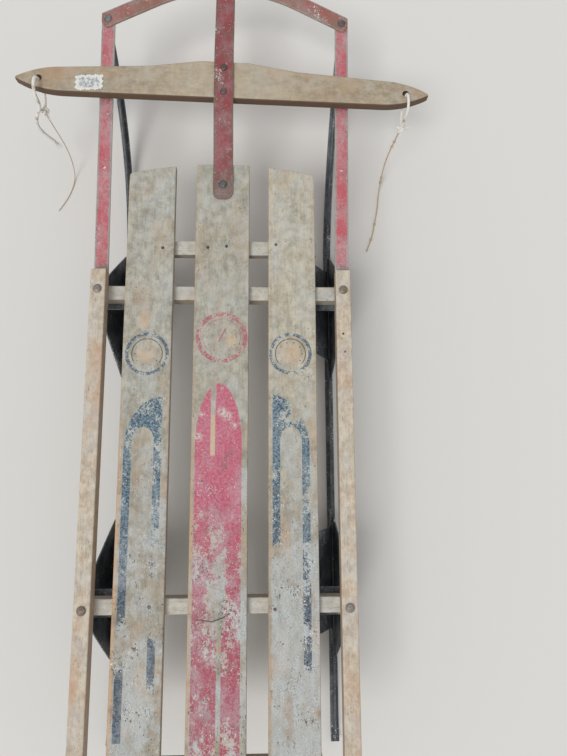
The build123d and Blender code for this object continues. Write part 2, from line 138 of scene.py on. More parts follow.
def skin(name, grid, travel=None, sharp=None):
    """A closed mesh over a grid of points: rows along the piece, columns that join up
    round it, and a pole that closes each end. Its UV map has the share of the way round
    and the distance along. Faces that point inwards are turned, and edges past the angle
    sharp, in degrees, stay sharp."""
    rows, columns = grid.shape[:2]
    travel = np.arange(rows) / rows if travel is None else travel
    row, column = np.meshgrid(np.arange(rows - 1), np.arange(columns), indexing="ij")
    corner_row = (row[..., None] + [0, 0, 1, 1]).reshape(-1, 4)
    corner_column = (column[..., None] + [0, 1, 1, 0]).reshape(-1, 4)
    quads = corner_row * columns + corner_column % columns
    quad_uv = np.stack([corner_column / columns, travel[corner_row]], axis=-1)
    ring = np.arange(columns)
    ring_after = (ring + 1) % columns
    start_pole = rows * columns
    end_ring = (rows - 1) * columns
    start_fan = np.stack([np.full(columns, start_pole), ring_after, ring], axis=-1)
    end_fan = np.stack([np.full(columns, start_pole + 1), end_ring + ring, end_ring + ring_after], axis=-1)
    points = np.vstack([grid.reshape(-1, 3), grid[0].mean(axis=0), grid[-1].mean(axis=0)])
    corner = points[quads[:, :3]]
    inside_out = np.einsum("ij,ij->i", corner[:, 0], np.cross(corner[:, 1], corner[:, 2])).sum() < 0
    fans = np.vstack([start_fan, end_fan])
    fan_distance = np.where(fans < start_pole / 2, travel[0], travel[-1])
    fan_uv = np.stack([fans % columns / columns, fan_distance], axis=-1)
    if inside_out:
        quads, quad_uv, fans, fan_uv = (each[:, ::-1] for each in (quads, quad_uv, fans, fan_uv))
    mesh = bpy.data.meshes.new(name)
    mesh.from_pydata(points.tolist(), [], quads.tolist() + fans.tolist())
    uv_map = mesh.uv_layers.new(name="surface")
    uv_map.data.foreach_set("uv", np.concatenate([quad_uv.ravel(), fan_uv.ravel()]))
    mesh.polygons.foreach_set("use_smooth", np.ones(len(mesh.polygons), dtype=bool))
    if sharp is not None:
        mesh.set_sharp_from_angle(angle=math.radians(sharp))
    mesh.update()
    return add(name, mesh)


strands = 3
strand_depth = 0.26
twist_pitch = 6.0
row_spacing = 0.4


def rope_grid(path, radius):
    """A twisted rope's surface: a circle carried along the path, drawn in between its
    strands. The strands' depth, the pitch in which they turn once and the rows' spacing
    are in radii."""
    tangent = unit(np.gradient(path, axis=0))
    side = unit(np.cross(tangent, [1.0, 0.0, 0.0]))
    other = np.cross(tangent, side)
    angle = np.linspace(0.0, 2 * math.pi, 8 * strands, endpoint=False)
    turn = 2 * math.pi * along(path) / (twist_pitch * radius)
    bulge = np.abs(np.cos(strands / 2 * (angle[None, :] - turn[:, None])))
    reach = radius * (1.0 - strand_depth + strand_depth * bulge ** 0.6)
    across = np.cos(angle)[None, :, None] * side[:, None] + np.sin(angle)[None, :, None] * other[:, None]
    return path[:, None] + reach[..., None] * across


small_knot_swell = 1.3
small_knot_reach = 0.0026
floor_clearance = 0.0001


def rope(name, node, path, radius, small_knots=()):
    """A piece of rope that stands for a cord node. Small knots thicken it at the given
    distances, each as a bell curve of the distance from it, and what would sink into the
    floor is pressed flat on it."""
    travel = along(path)
    offsets = np.array([travel - middle for middle in small_knots]) / small_knot_reach
    thick = 1.0 + small_knot_swell * np.exp(-(offsets ** 2)).sum(axis=0)
    grid = path[:, None] + (rope_grid(path, radius) - path[:, None]) * np.reshape(thick, (-1, 1, 1))
    grid[..., 2] = grid[..., 2].clip(floor_clearance)
    piece = skin(name, grid, travel)
    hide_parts(node)
    return piece


def knot(name, node, centre, size, radius):
    """A tight overhand knot: rope along a trefoil, the curve
    (sin t + 2 sin 2t, cos t - 2 cos 2t, -1.6 sin 3t), left open where the cord runs in."""
    opening = 0.15
    turn = np.linspace(opening, 2 * math.pi - opening, 120)
    trefoil = np.column_stack([
        np.sin(turn) + 2 * np.sin(2 * turn), np.cos(turn) - 2 * np.cos(2 * turn), -1.6 * np.sin(3 * turn),
    ])
    path = even(centre + trefoil / 3 * np.array(size), row_spacing * radius)
    return rope(name, node, path, radius)


def gather(pieces):
    """Joins several pieces into the first."""
    if len(pieces) == 1:
        return pieces[0]
    with bpy.context.temp_override(active_object=pieces[0], selected_editable_objects=pieces):
        bpy.ops.object.join()
    return pieces[0]


def frayed_end(name, tip, direction, length, spread, count):
    """Loose fibres at a cut cord's end: thin tapering tubes that start together at the
    tip and bow outwards with the square of the distance."""
    direction = np.array(direction)
    share = np.linspace(0.0, 1.0, 9)[None, :, None, None]
    fibre = np.arange(count)[:, None, None, None]
    way_out = 2.4 * fibre
    bow = spread * (0.35 + 0.65 * np.abs(np.sin(1.7 * fibre)))
    reach = length * (0.6 + 0.4 * np.abs(np.cos(2.3 * fibre)))
    side = unit(np.cross(direction, [1.0, 0.0, 0.0]))
    other = np.cross(direction, side)
    outwards = np.cos(way_out) * side + np.sin(way_out) * other
    bundle_radius = 0.0012
    fibre_radius = 0.00035
    line = tip + bundle_radius * outwards + share * reach * direction + share ** 2 * bow * outwards
    angle = np.linspace(0.0, 2 * math.pi, 5, endpoint=False)[None, None, :, None]
    thickness = fibre_radius * (1.0 - 0.7 * share)
    grid = line + thickness * (np.cos(angle) * side + np.sin(angle) * other)
    return gather([skin(name, fibre_grid) for fibre_grid in grid])


def hang_on(piece, body, material):
    """The body that a piece moves with, its finish's slot, and its finish."""
    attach(piece, body)
    piece.data.materials.append(material)


def fill(tree, sockets, values):
    """Gives sockets, by name or number, their values or links."""
    for name, value in values.items():
        if isinstance(value, bpy.types.NodeSocket):
            tree.links.new(value, sockets[name])
        else:
            sockets[name].default_value = value


def put(tree, kind, inputs=None, **settings):
    """Adds a shader node: settings are its properties, inputs its sockets' values or links."""
    node = tree.nodes.new("ShaderNode" + kind)
    for name, value in settings.items():
        setattr(node, name, value)
    fill(tree, node.inputs, inputs or {})
    return node


def calc(tree, operation, *values):
    """One step of arithmetic."""
    return put(tree, "Math", dict(enumerate(values)), operation=operation).outputs[0]


def linear(tree, value, slope, start):
    """value times slope, plus start."""
    return calc(tree, "MULTIPLY_ADD", value, slope, start)


def fade(tree, value, low, high):
    """0 below low, 1 above high, and smooth between them. The limits may be the other way round."""
    limits = {"Value": value, "From Min": low, "From Max": high}
    return put(tree, "MapRange", limits, interpolation_type="SMOOTHSTEP").outputs[0]


def noise(tree, vector, scale, detail=4.0, roughness=0.55, squeeze=None):
    """Fractal noise. squeeze scales the place first, so a small y makes marks long in Y."""
    if squeeze:
        vector = put(tree, "Mapping", {"Vector": vector, "Scale": squeeze}).outputs[0]
    settings = {"Vector": vector, "Scale": scale, "Detail": detail, "Roughness": roughness}
    return put(tree, "TexNoise", settings).outputs[0]


def layer(tree, mask, under, over):
    """The colour over, laid on the colour under where the mask is 1. A Mix node's colour
    sockets are its inputs 6 and 7 and its output 2."""
    return put(tree, "Mix", {0: mask, 6: under, 7: over}, data_type="RGBA").outputs[2]


def paint(red, green, blue):
    """A colour as it shows on screen, from 0 to 255, as linear light."""
    share = np.array([red, green, blue]) / 255
    light = np.where(share > 0.04045, ((share + 0.055) / 1.055) ** 2.4, share / 12.92)
    return (*light.tolist(), 1.0)


def new_material(name):
    """An empty material, with its tree, its shader and its Object coordinates."""
    material = bpy.data.materials.new(name)
    material.use_nodes = True
    tree = material.node_tree
    shader = tree.nodes["Principled BSDF"]
    place = put(tree, "TexCoord").outputs["Object"]
    return material, tree, shader, place


def bump(tree, shader, height, distance, strength=1.0):
    """Turns a height into relief that is distance deep."""
    settings = {"Height": height, "Distance": distance, "Strength": strength}
    fill(tree, shader.inputs, {"Normal": put(tree, "Bump", settings).outputs[0]})


def cotton_material(name, hollows, yarn, soil):
    """Cotton fibres with soiled stretches."""
    material, tree, shader, place = new_material(name)
    fibre = noise(tree, place, 900.0, 3.0)
    soiling = noise(tree, place, 55.0, 3.0)
    clean = layer(tree, fade(tree, fibre, 0.3, 0.7), hollows, yarn)
    soiled = layer(tree, fade(tree, soiling, 0.50, 0.72), clean, soil)
    fill(tree, shader.inputs, {"Base Color": soiled, "Roughness": 0.92, "Sheen Weight": 0.3})
    bump(tree, shader, fibre, 0.0004)
    return material


cotton = cotton_material(
    "cotton_cord", paint(222, 218, 208), paint(244, 242, 236), paint(166, 150, 124))
grey_cotton = cotton_material(
    "cotton_string", paint(178, 156, 128), paint(206, 188, 162), paint(150, 126, 98))
left_cord_start = (0.0, -0.0022, cord_start_height)
right_cord_start = (0.0, -0.0027, cord_start_height)
left_over = from_hole(-1, (
    left_cord_start, (0.0, -0.0022, 0.175), (-0.001, -0.030, 0.174), (-0.0015, -0.033, 0.142),
    (-0.014, -0.035, 0.126), (-0.022, -0.038, 0.105), (-0.016, -0.041, 0.084), (-0.008, -0.041, 0.068),
))
left_under = from_hole(-1, (left_cord_start, (0.0, -0.0022, 0.132), (-0.001, -0.026, 0.130)))
left_thread = from_hole(-1, (
    (0.0015, -0.036, 0.126), (0.004, -0.040, 0.100), (0.007, -0.044, 0.066), (0.007, -0.050, 0.032),
    (0.005, -0.064, 0.003), (0.001, -0.086, 0.0009), (-0.008, -0.108, 0.0009), (-0.020, -0.126, 0.0009),
))
right_over = from_hole(1, (
    right_cord_start, (0.0, -0.0027, 0.174), (0.001, -0.029, 0.173), (0.0, -0.033, 0.142),
    (-0.001, -0.0335, 0.126),
))
right_under = from_hole(1, (right_cord_start, (0.0, -0.0027, 0.130), (0.0, -0.027, 0.127)))
right_string = from_hole(1, (
    (-0.001, -0.0335, 0.1245), (-0.005, -0.038, 0.092), (-0.008, -0.042, 0.060), (-0.009, -0.050, 0.028),
    (-0.011, -0.072, 0.0025), (-0.013, -0.100, 0.0012), (-0.019, -0.128, 0.0012), (-0.024, -0.154, 0.0012),
    (-0.034, -0.178, 0.0012),
))
left_knot_middle = from_hole(-1, (-0.0015, -0.032, 0.131))
right_knot_middle = from_hole(1, (-0.0005, -0.032, 0.127))
left_ends = [
    knot("knot_left_tied", "knot_left", left_knot_middle, size=(0.0058, 0.0046, 0.0046), radius=0.0022)]
right_ends = [
    knot("knot_right_tied", "knot_right", right_knot_middle, size=(0.0064, 0.0050, 0.0052), radius=0.0021)]
for ends, name, tip, direction, length, spread, count in (
    (left_ends, "cord_left_fray", left_over[-1], (0.15, 0.0, -0.99), 0.015, 0.0055, 24),
    (left_ends, "knot_left_tail", left_knot_middle, (0.36, -0.48, -0.80), 0.016, 0.003, 8),
    (right_ends, "knot_right_tail", right_knot_middle, (0.96, -0.20, 0.20), 0.018, 0.004, 12),
    (right_ends, "knot_right_wisp", right_knot_middle, (-0.80, -0.52, -0.30), 0.016, 0.006, 10),
):
    ends.append(frayed_end(name, tip, direction, length, spread, count))
string_knots = (0.026, 0.037, 0.106, 0.114, 0.188, 0.216)
for name, node, route, length, diameter, far_end, with_pieces, small_knots, finish in (
    ("cord_left_rope", "cord_left", left_over, 0.150, 0.005, "bare", left_ends, (), cotton),
    ("cord_left_return_rope", "cord_left_return", left_under, 0.043, 0.005, "knot", [], (), cotton),
    ("thread_left_loose", "thread_left", left_thread, 0.193, 0.0015, "bare", [], (), grey_cotton),
    ("cord_right_rope", "cord_right", right_over, 0.085, 0.004, "knot", right_ends, (), cotton),
    ("cord_right_return_rope", "cord_right_return", right_under, 0.0455, 0.004, "knot", [], (), cotton),
    ("string_right_loose", "string_right", right_string, 0.239, 0.0022, "bare", [], string_knots,
     grey_cotton),
):
    path = even(spline_path(route), row_spacing * diameter / 2)
    piece = rope(name, node, path, diameter / 2, small_knots)
    for member in (piece, *with_pieces):
        hang_on(member, lever_body, finish)

# The deck: three thin hardwood boards, planed, varnished long ago and now grey with
# dust, nailed down to two cross benches and two cleats. Their left edges still show
# the tan of the wood, partly a painted highlight where the lamp catches them. Their
# other sides and the wood towards the rear are painted darker as shade.
bench_y = np.array(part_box("bench_front"))[:, 1].mean()
rear_bench_y = np.array(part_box("bench_rear"))[:, 1].mean()


def new_group(name, inputs, outputs):
    """An empty shader node group with the given sockets, its inner inputs and outputs."""
    group = bpy.data.node_groups.new(name, "ShaderNodeTree")
    for direction, sockets in (("INPUT", inputs), ("OUTPUT", outputs)):
        for socket, kind in sockets.items():
            group.interface.new_socket(socket, in_out=direction, socket_type="NodeSocket" + kind)
    given = group.nodes.new("NodeGroupInput").outputs
    result = group.nodes.new("NodeGroupOutput").inputs
    return group, given, result


def use(tree, group, inputs):
    """Places a node group in a material and gives its outputs."""
    return put(tree, "Group", inputs, node_tree=group).outputs


def times(tree, *values):
    """The product of several values."""
    product = values[0]
    for value in values[1:]:
        product = calc(tree, "MULTIPLY", product, value)
    return product


def wood_group():
    """Old wood with its grain along Y: fine fibres, a slow figure whose sine gives the
    growth lines, warm patches where the varnish has held, and short dark pores."""
    group, given, result = new_group(
        "old_wood", {
            "Place": "Vector", "Pale": "Color", "Dark": "Color", "Warm": "Color", "Warmth": "Float"},
        {"Color": "Color", "Height": "Float"})
    place = given["Place"]
    fibres = noise(group, place, 700.0, 5.0, 0.65, squeeze=(1.0, 0.05, 1.0))
    figure = noise(group, place, 22.0, 3.0, 0.5, squeeze=(1.0, 0.10, 1.0))
    rings = calc(group, "SINE", times(group, figure, 80.0))
    mottle = noise(group, place, 95.0, 6.0, 0.72, squeeze=(1.0, 0.8, 1.0))
    pores = noise(group, place, 1000.0, 2.0, 0.5, squeeze=(1.0, 0.12, 1.0))
    patches = noise(group, place, 26.0, 5.0, 0.62, squeeze=(1.0, 0.40, 1.0))
    streaks = linear(group, rings, 0.025, times(group, fibres, 0.35))
    tone = linear(group, mottle, 1.05, streaks)
    colour = layer(group, fade(group, tone, 0.46, 0.90), given["Dark"], given["Pale"])
    pore_mask = times(group, fade(group, pores, 0.60, 0.72), 0.5)
    colour = layer(group, pore_mask, colour, paint(112, 98, 80))
    warm_mask = times(group, fade(group, patches, 0.48, 0.68), given["Warmth"])
    colour = layer(group, warm_mask, colour, given["Warm"])
    fill(group, result, {"Color": colour, "Height": linear(group, pores, -0.6, tone)})
    return group


def dust_group():
    """Barn dust and dirt over any finish: a pale film in patches, which Cover widens,
    chalky flakes in loose clusters, pin-point flecks, dark specks, and smudges of grime."""
    group, given, result = new_group(
        "barn_dust", {
            "Place": "Vector", "Color": "Color", "Dust": "Float", "Cover": "Float", "Specks": "Float"},
        {"Color": "Color", "Film": "Float"})
    place = given["Place"]
    broad = noise(group, place, 30.0, 7.0, 0.74, squeeze=(1.0, 0.7, 1.0))
    fine = noise(group, place, 480.0, 4.0, 0.8)
    clusters = noise(group, place, 33.0, 3.0, 0.6)
    smudges = noise(group, place, 70.0, 4.0, 0.65, squeeze=(1.0, 0.7, 1.0))
    flakes = noise(group, place, 210.0, 5.0, 0.8)
    flecks = noise(group, place, 560.0, 1.0, 0.5)
    specks = noise(group, place, 430.0, 3.0, 0.7, squeeze=(1.1, 0.5, 1.0))
    swept = noise(group, place, 105.0, 5.0, 0.7, squeeze=(1.0, 0.3, 1.0))
    covered = fade(group, calc(group, "ADD", broad, given["Cover"]), 0.43, 0.60)
    swept_share = linear(group, fade(group, swept, 0.36, 0.60), 0.45, 0.62)
    film = times(group, covered, fade(group, fine, 0.28, 0.58), swept_share, given["Dust"])
    grime = times(group, fade(group, smudges, 0.52, 0.72), given["Specks"], 0.45)
    colour = layer(group, grime, given["Color"], paint(124, 117, 106))
    colour = layer(group, film, colour, paint(198, 205, 207))
    near_cluster = times(group, calc(group, "SUBTRACT", clusters, 0.5), 0.45)
    near_cluster = linear(group, given["Specks"], 0.06, near_cluster)
    for pattern, low, high, ink in (
        (specks, 0.690, 0.760, paint(96, 91, 85)), (flakes, 0.700, 0.745, paint(206, 211, 210)),
        (flecks, 0.795, 0.825, paint(240, 240, 234)),
    ):
        mask = fade(group, calc(group, "ADD", pattern, near_cluster), low, high)
        colour = layer(group, times(group, mask, given["Specks"]), colour, ink)
    fill(group, result, {"Color": colour, "Film": film})
    return group


def print_group():
    """Screen printing that has worn off: the print holds where a mix of pin holes, chips
    and larger patches is above a level that rises with the wear. Its tone is uneven."""
    group, given, result = new_group(
        "worn_print", {"Place": "Vector", "Shape": "Float", "Wear": "Float"},
        {"Mask": "Float", "Tone": "Float"})
    place = given["Place"]
    pin_holes = noise(group, place, 480.0, 2.0, 0.6)
    chips = noise(group, place, 160.0, 5.0, 0.75, squeeze=(1.0, 0.8, 1.0))
    patches = noise(group, place, 55.0, 3.0, 0.6, squeeze=(1.0, 0.6, 1.0))
    coarse = linear(group, chips, 0.9, times(group, patches, 0.75))
    held = linear(group, pin_holes, 0.6, coarse)
    level = linear(group, given["Wear"], 0.56, 0.845)
    mask = fade(group, calc(group, "SUBTRACT", held, level), -0.03, 0.05)
    tone = noise(group, place, 300.0, 5.0, 0.75)
    fill(group, result, {
        "Mask": times(group, mask, given["Shape"], 0.95), "Tone": fade(group, tone, 0.41, 0.60)})
    return group


old_wood = wood_group()
barn_dust = dust_group()
worn_print = print_group()
# Inks: full, thin, and what is left where they have worn off. The rear tones are darker as painted shade.
pink_rest = paint(206, 186, 180)
front_red_ink = (paint(184, 84, 108), paint(210, 118, 140), pink_rest)
rear_red_ink = (paint(160, 66, 86), paint(184, 104, 120), pink_rest)
dull_red_ink = (paint(166, 90, 98), paint(190, 134, 136), paint(200, 176, 168))
front_blue_ink = (paint(36, 62, 88), paint(118, 145, 158), paint(190, 199, 197))
rear_blue_ink = (paint(36, 46, 68), paint(102, 117, 132), paint(190, 199, 197))
ring_blue_ink = (paint(66, 80, 94), paint(124, 136, 144), paint(188, 194, 194))
dial_brown = (paint(92, 72, 58), paint(122, 98, 80), None)
scratch_blue = (paint(52, 60, 74), paint(80, 88, 98), None)
chalk = (paint(216, 216, 208), paint(196, 194, 186), None)
clean_wood = (paint(208, 176, 144), paint(216, 190, 162), None)
bare_streak = (paint(176, 150, 128), paint(168, 148, 130), None)
soft_edge = 0.0005


def split(tree, vector):
    """The x, y and z of a vector."""
    return put(tree, "SeparateXYZ", {"Vector": vector}).outputs


def facing_axes(tree):
    """The x, y and z of the way that a face looks."""
    return split(tree, put(tree, "TexCoord").outputs["Normal"])


def local_place(tree, place, middle, turn):
    """A place in axes that start at a middle and are turned round Z."""
    settings = {"Vector": place, "Location": (*middle, 0.0), "Rotation": (0.0, 0.0, turn)}
    return put(tree, "Mapping", settings, vector_type="TEXTURE").outputs[0]


def either(tree, *masks):
    """The largest of several masks."""
    largest = masks[0]
    for mask in masks[1:]:
        largest = calc(tree, "MAXIMUM", largest, mask)
    return largest


def far(tree, value, middle):
    """How far a value is from a middle one."""
    return calc(tree, "ABSOLUTE", calc(tree, "SUBTRACT", value, middle))


def between(tree, value, low, high):
    """1 where a value lies between two limits."""
    half = (high - low) / 2
    return fade(tree, far(tree, value, low + half), half + soft_edge, half - soft_edge)


def bullet(tree, across, ahead, middle, shoulder, half, nose, power):
    """1 inside a rounded nose: |x / half|^p + (y / nose)^p < 1 ahead of its shoulder, and
    straight sides behind it."""
    side = calc(tree, "POWER", calc(tree, "DIVIDE", far(tree, across, middle), half), power)
    rise = calc(tree, "MAXIMUM", calc(tree, "SUBTRACT", ahead, shoulder), 0.0)
    front = calc(tree, "POWER", calc(tree, "DIVIDE", rise, nose), power)
    return fade(tree, calc(tree, "ADD", side, front), 1.03, 0.97)


def distance_from(tree, across, ahead, centre):
    """The distance on the deck from a centre."""
    squares = [
        calc(tree, "POWER", calc(tree, "SUBTRACT", value, middle), 2.0)
        for value, middle in zip((across, ahead), centre)]
    return calc(tree, "SQRT", calc(tree, "ADD", *squares))


def circle(tree, across, ahead, centre, radius, stroke):
    """1 on a circle's line."""
    off_line = far(tree, distance_from(tree, across, ahead, centre), radius)
    return fade(tree, off_line, stroke / 2 + soft_edge, stroke / 2 - soft_edge)


def short_line(tree, across, ahead, middle, turn, half, width):
    """1 on a straight stroke: within half its length and half its width of its middle, in
    axes turned with it. turn is in degrees."""
    place = put(tree, "CombineXYZ", {"X": across, "Y": ahead}).outputs[0]
    axes = split(tree, local_place(tree, place, middle, math.radians(turn)))
    return times(
        tree, between(tree, axes["X"], -half, half), between(tree, axes["Y"], -width / 2, width / 2))


def dial_ticks(tree, across, ahead, centre, radius, count):
    """Dots at even turns round a dial: where the cosine of count times the angle peaks."""
    angle = calc(
        tree, "ARCTAN2", calc(tree, "SUBTRACT", ahead, centre[1]), calc(tree, "SUBTRACT", across, centre[0]))
    peak = fade(tree, calc(tree, "COSINE", times(tree, angle, float(count))), 0.86, 0.96)
    return times(tree, peak, circle(tree, across, ahead, centre, radius, 0.0022))


def short_patch(tree, across, ahead, middle, half_across, half_ahead):
    """1 in a patch with soft ends: where the two distances from its middle, each as a share
    of its own half, add up to less than 1 as squares."""
    shares = [
        calc(tree, "POWER", calc(tree, "DIVIDE", far(tree, value, centre), half), 2.0)
        for value, centre, half in zip((across, ahead), middle, (half_across, half_ahead))]
    return fade(tree, calc(tree, "ADD", *shares), 1.2, 0.2)


def shade_inks_rearward(tree, ahead, front, rear):
    """Ink tones that change from those in front to the darker ones behind, a painted shade where the light
    falls off towards the rear.
    """
    rearward = fade(tree, ahead, -0.24, -0.46)
    return [layer(tree, rearward, *tones) for tones in zip(front, rear)]


def wear_along(tree, ahead, rows):
    """Wear that changes along the sled, from rows of (distance ahead, wear)."""
    rear, front = rows[-1][0], rows[0][0]
    share = put(tree, "MapRange", {"Value": ahead, "From Min": rear, "From Max": front}).outputs[0]
    ramp = put(tree, "ValToRGB", {"Fac": share})
    stops = ramp.color_ramp.elements
    for stop, (_, wear) in zip(stops, (rows[-1], rows[0])):
        stop.color = (wear, wear, wear, 1.0)
    for distance, wear in rows[1:-1]:
        stops.new((distance - rear) / (front - rear)).color = (wear, wear, wear, 1.0)
    return ramp.outputs[0]


def slat_prints(tree, across, ahead, side):
    """A side slat's blue prints as (shape, wear, ink) rows: a ring with a thin dial line and
    ticks in it, and a long stripe that runs up the outer edge, round and back down the
    inner one. across is measured outwards."""
    # Both stripes' wear is given at distances ahead of the front bench
    ring_centre, ring_radius, ring_wear, outer_wear, inner_wear = {
        -1: ((0.0993, -0.0885), 0.0272, 0.36,
             ((-0.145, 0.44), (-0.200, 0.32), (-0.330, 0.24), (-0.432, 0.24), (-0.443, 0.85), (-0.480, 0.75),
              (-0.492, 0.32), (-0.570, 0.22), (-0.640, 0.8)),
             ((-0.145, 0.36), (-0.270, 0.40), (-0.330, 0.48), (-0.350, 0.82), (-0.372, 0.50), (-0.390, 0.85),
              (-0.445, 0.92), (-0.457, 0.30), (-0.505, 0.34), (-0.520, 0.78), (-0.640, 0.8))),
        1: ((0.0945, -0.088), 0.0267, 0.46,
            ((-0.145, 0.56), (-0.185, 0.42), (-0.200, 0.26), (-0.258, 0.30), (-0.268, 0.66), (-0.290, 0.62),
             (-0.300, 0.30), (-0.335, 0.32), (-0.345, 0.66), (-0.356, 0.38), (-0.410, 0.40), (-0.448, 0.58),
             (-0.458, 0.32), (-0.485, 0.38), (-0.500, 0.80), (-0.640, 0.92)),
            ((-0.145, 0.28), (-0.290, 0.32), (-0.333, 0.38), (-0.346, 0.76), (-0.640, 0.92))),
    }[side]
    inner_edge, nose, power, crown_wear = {
        -1: (0.0765, 0.068, 2.0, 0.06), 1: (0.0700, 0.071, 1.8, 0.24)}[side]
    stripe = 0.0103
    reach = 0.0495
    rear_end, front_end = -0.572, -0.12
    outer = bullet(tree, across, ahead, inner_edge, -0.215, reach, nose, power)
    hollow_middle = inner_edge + reach / 2 - 0.0002
    hollow = bullet(tree, across, ahead, hollow_middle, -0.208, reach / 2 - stripe, 0.0205, 2.2)
    band = times(
        tree, outer, calc(tree, "SUBTRACT", 1.0, hollow),
        between(tree, across, inner_edge, inner_edge + reach), between(tree, ahead, rear_end, front_end))
    on_outer = fade(tree, across, hollow_middle - 0.004, hollow_middle + 0.004)
    wear = put(tree, "Mix", {"Factor": on_outer, "A": wear_along(tree, ahead, inner_wear),
                             "B": wear_along(tree, ahead, outer_wear)}).outputs[0]
    crown = fade(tree, distance_from(tree, across, ahead, (inner_edge + 0.023, -0.168)), 0.024, 0.008)
    wear = linear(tree, crown, crown_wear, wear)
    ring = circle(tree, across, ahead, ring_centre, ring_radius, 0.0046)
    thin_ring = times(
        tree, circle(tree, across, ahead, ring_centre, 0.0205, 0.0014),
        fade(tree, ahead, ring_centre[1] - 0.016, ring_centre[1] - 0.010))
    ticks = dial_ticks(tree, across, ahead, ring_centre, 0.0160, 10)
    bare_spots = short_patch(tree, across, ahead, ring_centre, 0.016, 0.016)
    if side < 0:
        upper_spot = short_patch(tree, across, ahead, (0.105, -0.0414), 0.011, 0.014)
        bare_spots = either(tree, bare_spots, upper_spot)
    rows = [(times(tree, bare_spots, 0.6), 0.28, clean_wood),
            (band, wear, shade_inks_rearward(tree, ahead, front_blue_ink, rear_blue_ink)),
            (ring, ring_wear, ring_blue_ink), (thin_ring, 0.28, dial_brown), (ticks, 0.45, dial_brown)]
    if side > 0:
        streak = short_patch(tree, across, ahead, (0.0890, -0.545), 0.0080, 0.036)
        rows.append((times(tree, streak, 0.8), 0.34, bare_streak))
    return rows


def centre_prints(tree, across, ahead, side):
    """The middle slat's red prints, as rows like those of slat_prints: a dial with ticks and
    a needle, and one long bar with a rounded nose and a thin bare line down it. Chalk
    smears and four scratches lie over them. side is only there for the call."""
    dial = (0.0010, -0.0655)
    ring = circle(tree, across, ahead, dial, 0.0322, 0.0060)
    bare_spot = times(tree, short_patch(tree, across, ahead, (0.013, -0.0695), 0.009, 0.012), 0.6)
    thin_ring = times(
        tree, circle(tree, across, ahead, dial, 0.0256, 0.0010),
        fade(tree, ahead, dial[1] - 0.022, dial[1] - 0.012))
    ticks = dial_ticks(tree, across, ahead, dial, 0.0203, 12)
    needle = short_line(tree, across, ahead, (0.0015, -0.0628), 63.7, 0.0105, 0.0020)
    front_line = times(tree, between(tree, across, -0.0122, -0.0060), fade(tree, ahead, -0.2255, -0.2245))
    rear_line = times(tree, between(tree, across, -0.0006, 0.0052), fade(tree, ahead, -0.418, -0.424))
    bare_line = either(tree, front_line, rear_line)
    bar = times(
        tree, bullet(tree, across, ahead, -0.0015, -0.205, 0.0308, 0.0765, 1.85),
        calc(tree, "SUBTRACT", 1.0, bare_line))
    length_wear = wear_along(tree, ahead, (
        (-0.130, 0.26), (-0.190, 0.18), (-0.290, 0.16), (-0.325, 0.25), (-0.375, 0.36), (-0.430, 0.44),
        (-0.480, 0.44), (-0.508, 0.24), (-0.545, 0.24), (-0.565, 0.42), (-0.640, 0.6)))
    rubbed = times(
        tree, fade(tree, far(tree, across, -0.002), 0.018, 0.006), fade(tree, ahead, -0.295, -0.330),
        fade(tree, ahead, -0.475, -0.435))
    wear = linear(tree, rubbed, 0.26, length_wear)
    clean_line = times(tree, front_line, fade(tree, ahead, -0.160, -0.185))
    rows = [(either(tree, clean_line, bare_spot), 0.20, clean_wood),
            (bar, wear, shade_inks_rearward(tree, ahead, front_red_ink, rear_red_ink)),
            (ring, 0.40, dull_red_ink), (thin_ring, 0.25, dull_red_ink),
            (ticks, 0.25, dull_red_ink), (needle, 0.08, dull_red_ink)]
    smears = [
        fade(tree, distance_from(tree, across, ahead, middle), reach, 0.2 * reach)
        for middle, reach in (
            ((0.0030, -0.1670), 0.0090), ((0.0100, -0.1735), 0.0095), ((0.0180, -0.1860), 0.0080),
            ((-0.0290, -0.2010), 0.0090), ((-0.0240, -0.1700), 0.0060), ((-0.0251, -0.5199), 0.0056))]
    rows.append((either(tree, *smears), 0.46, chalk))
    scratch_wear = 0.10
    for middle, turn, half, width, ink in (
        ((-0.0168, -0.4312), -8.2, 0.0104, 0.0016, scratch_blue),
        ((0.0001, -0.4304), 18.0, 0.0075, 0.0016, scratch_blue),
        ((0.0120, -0.4252), 30.1, 0.0060, 0.0014, scratch_blue),
        ((-0.0081, -0.3910), -16.0, 0.0165, 0.0006, dial_brown),
    ):
        rows.append((short_line(tree, across, ahead, middle, turn, half, width), scratch_wear, ink))
    return rows


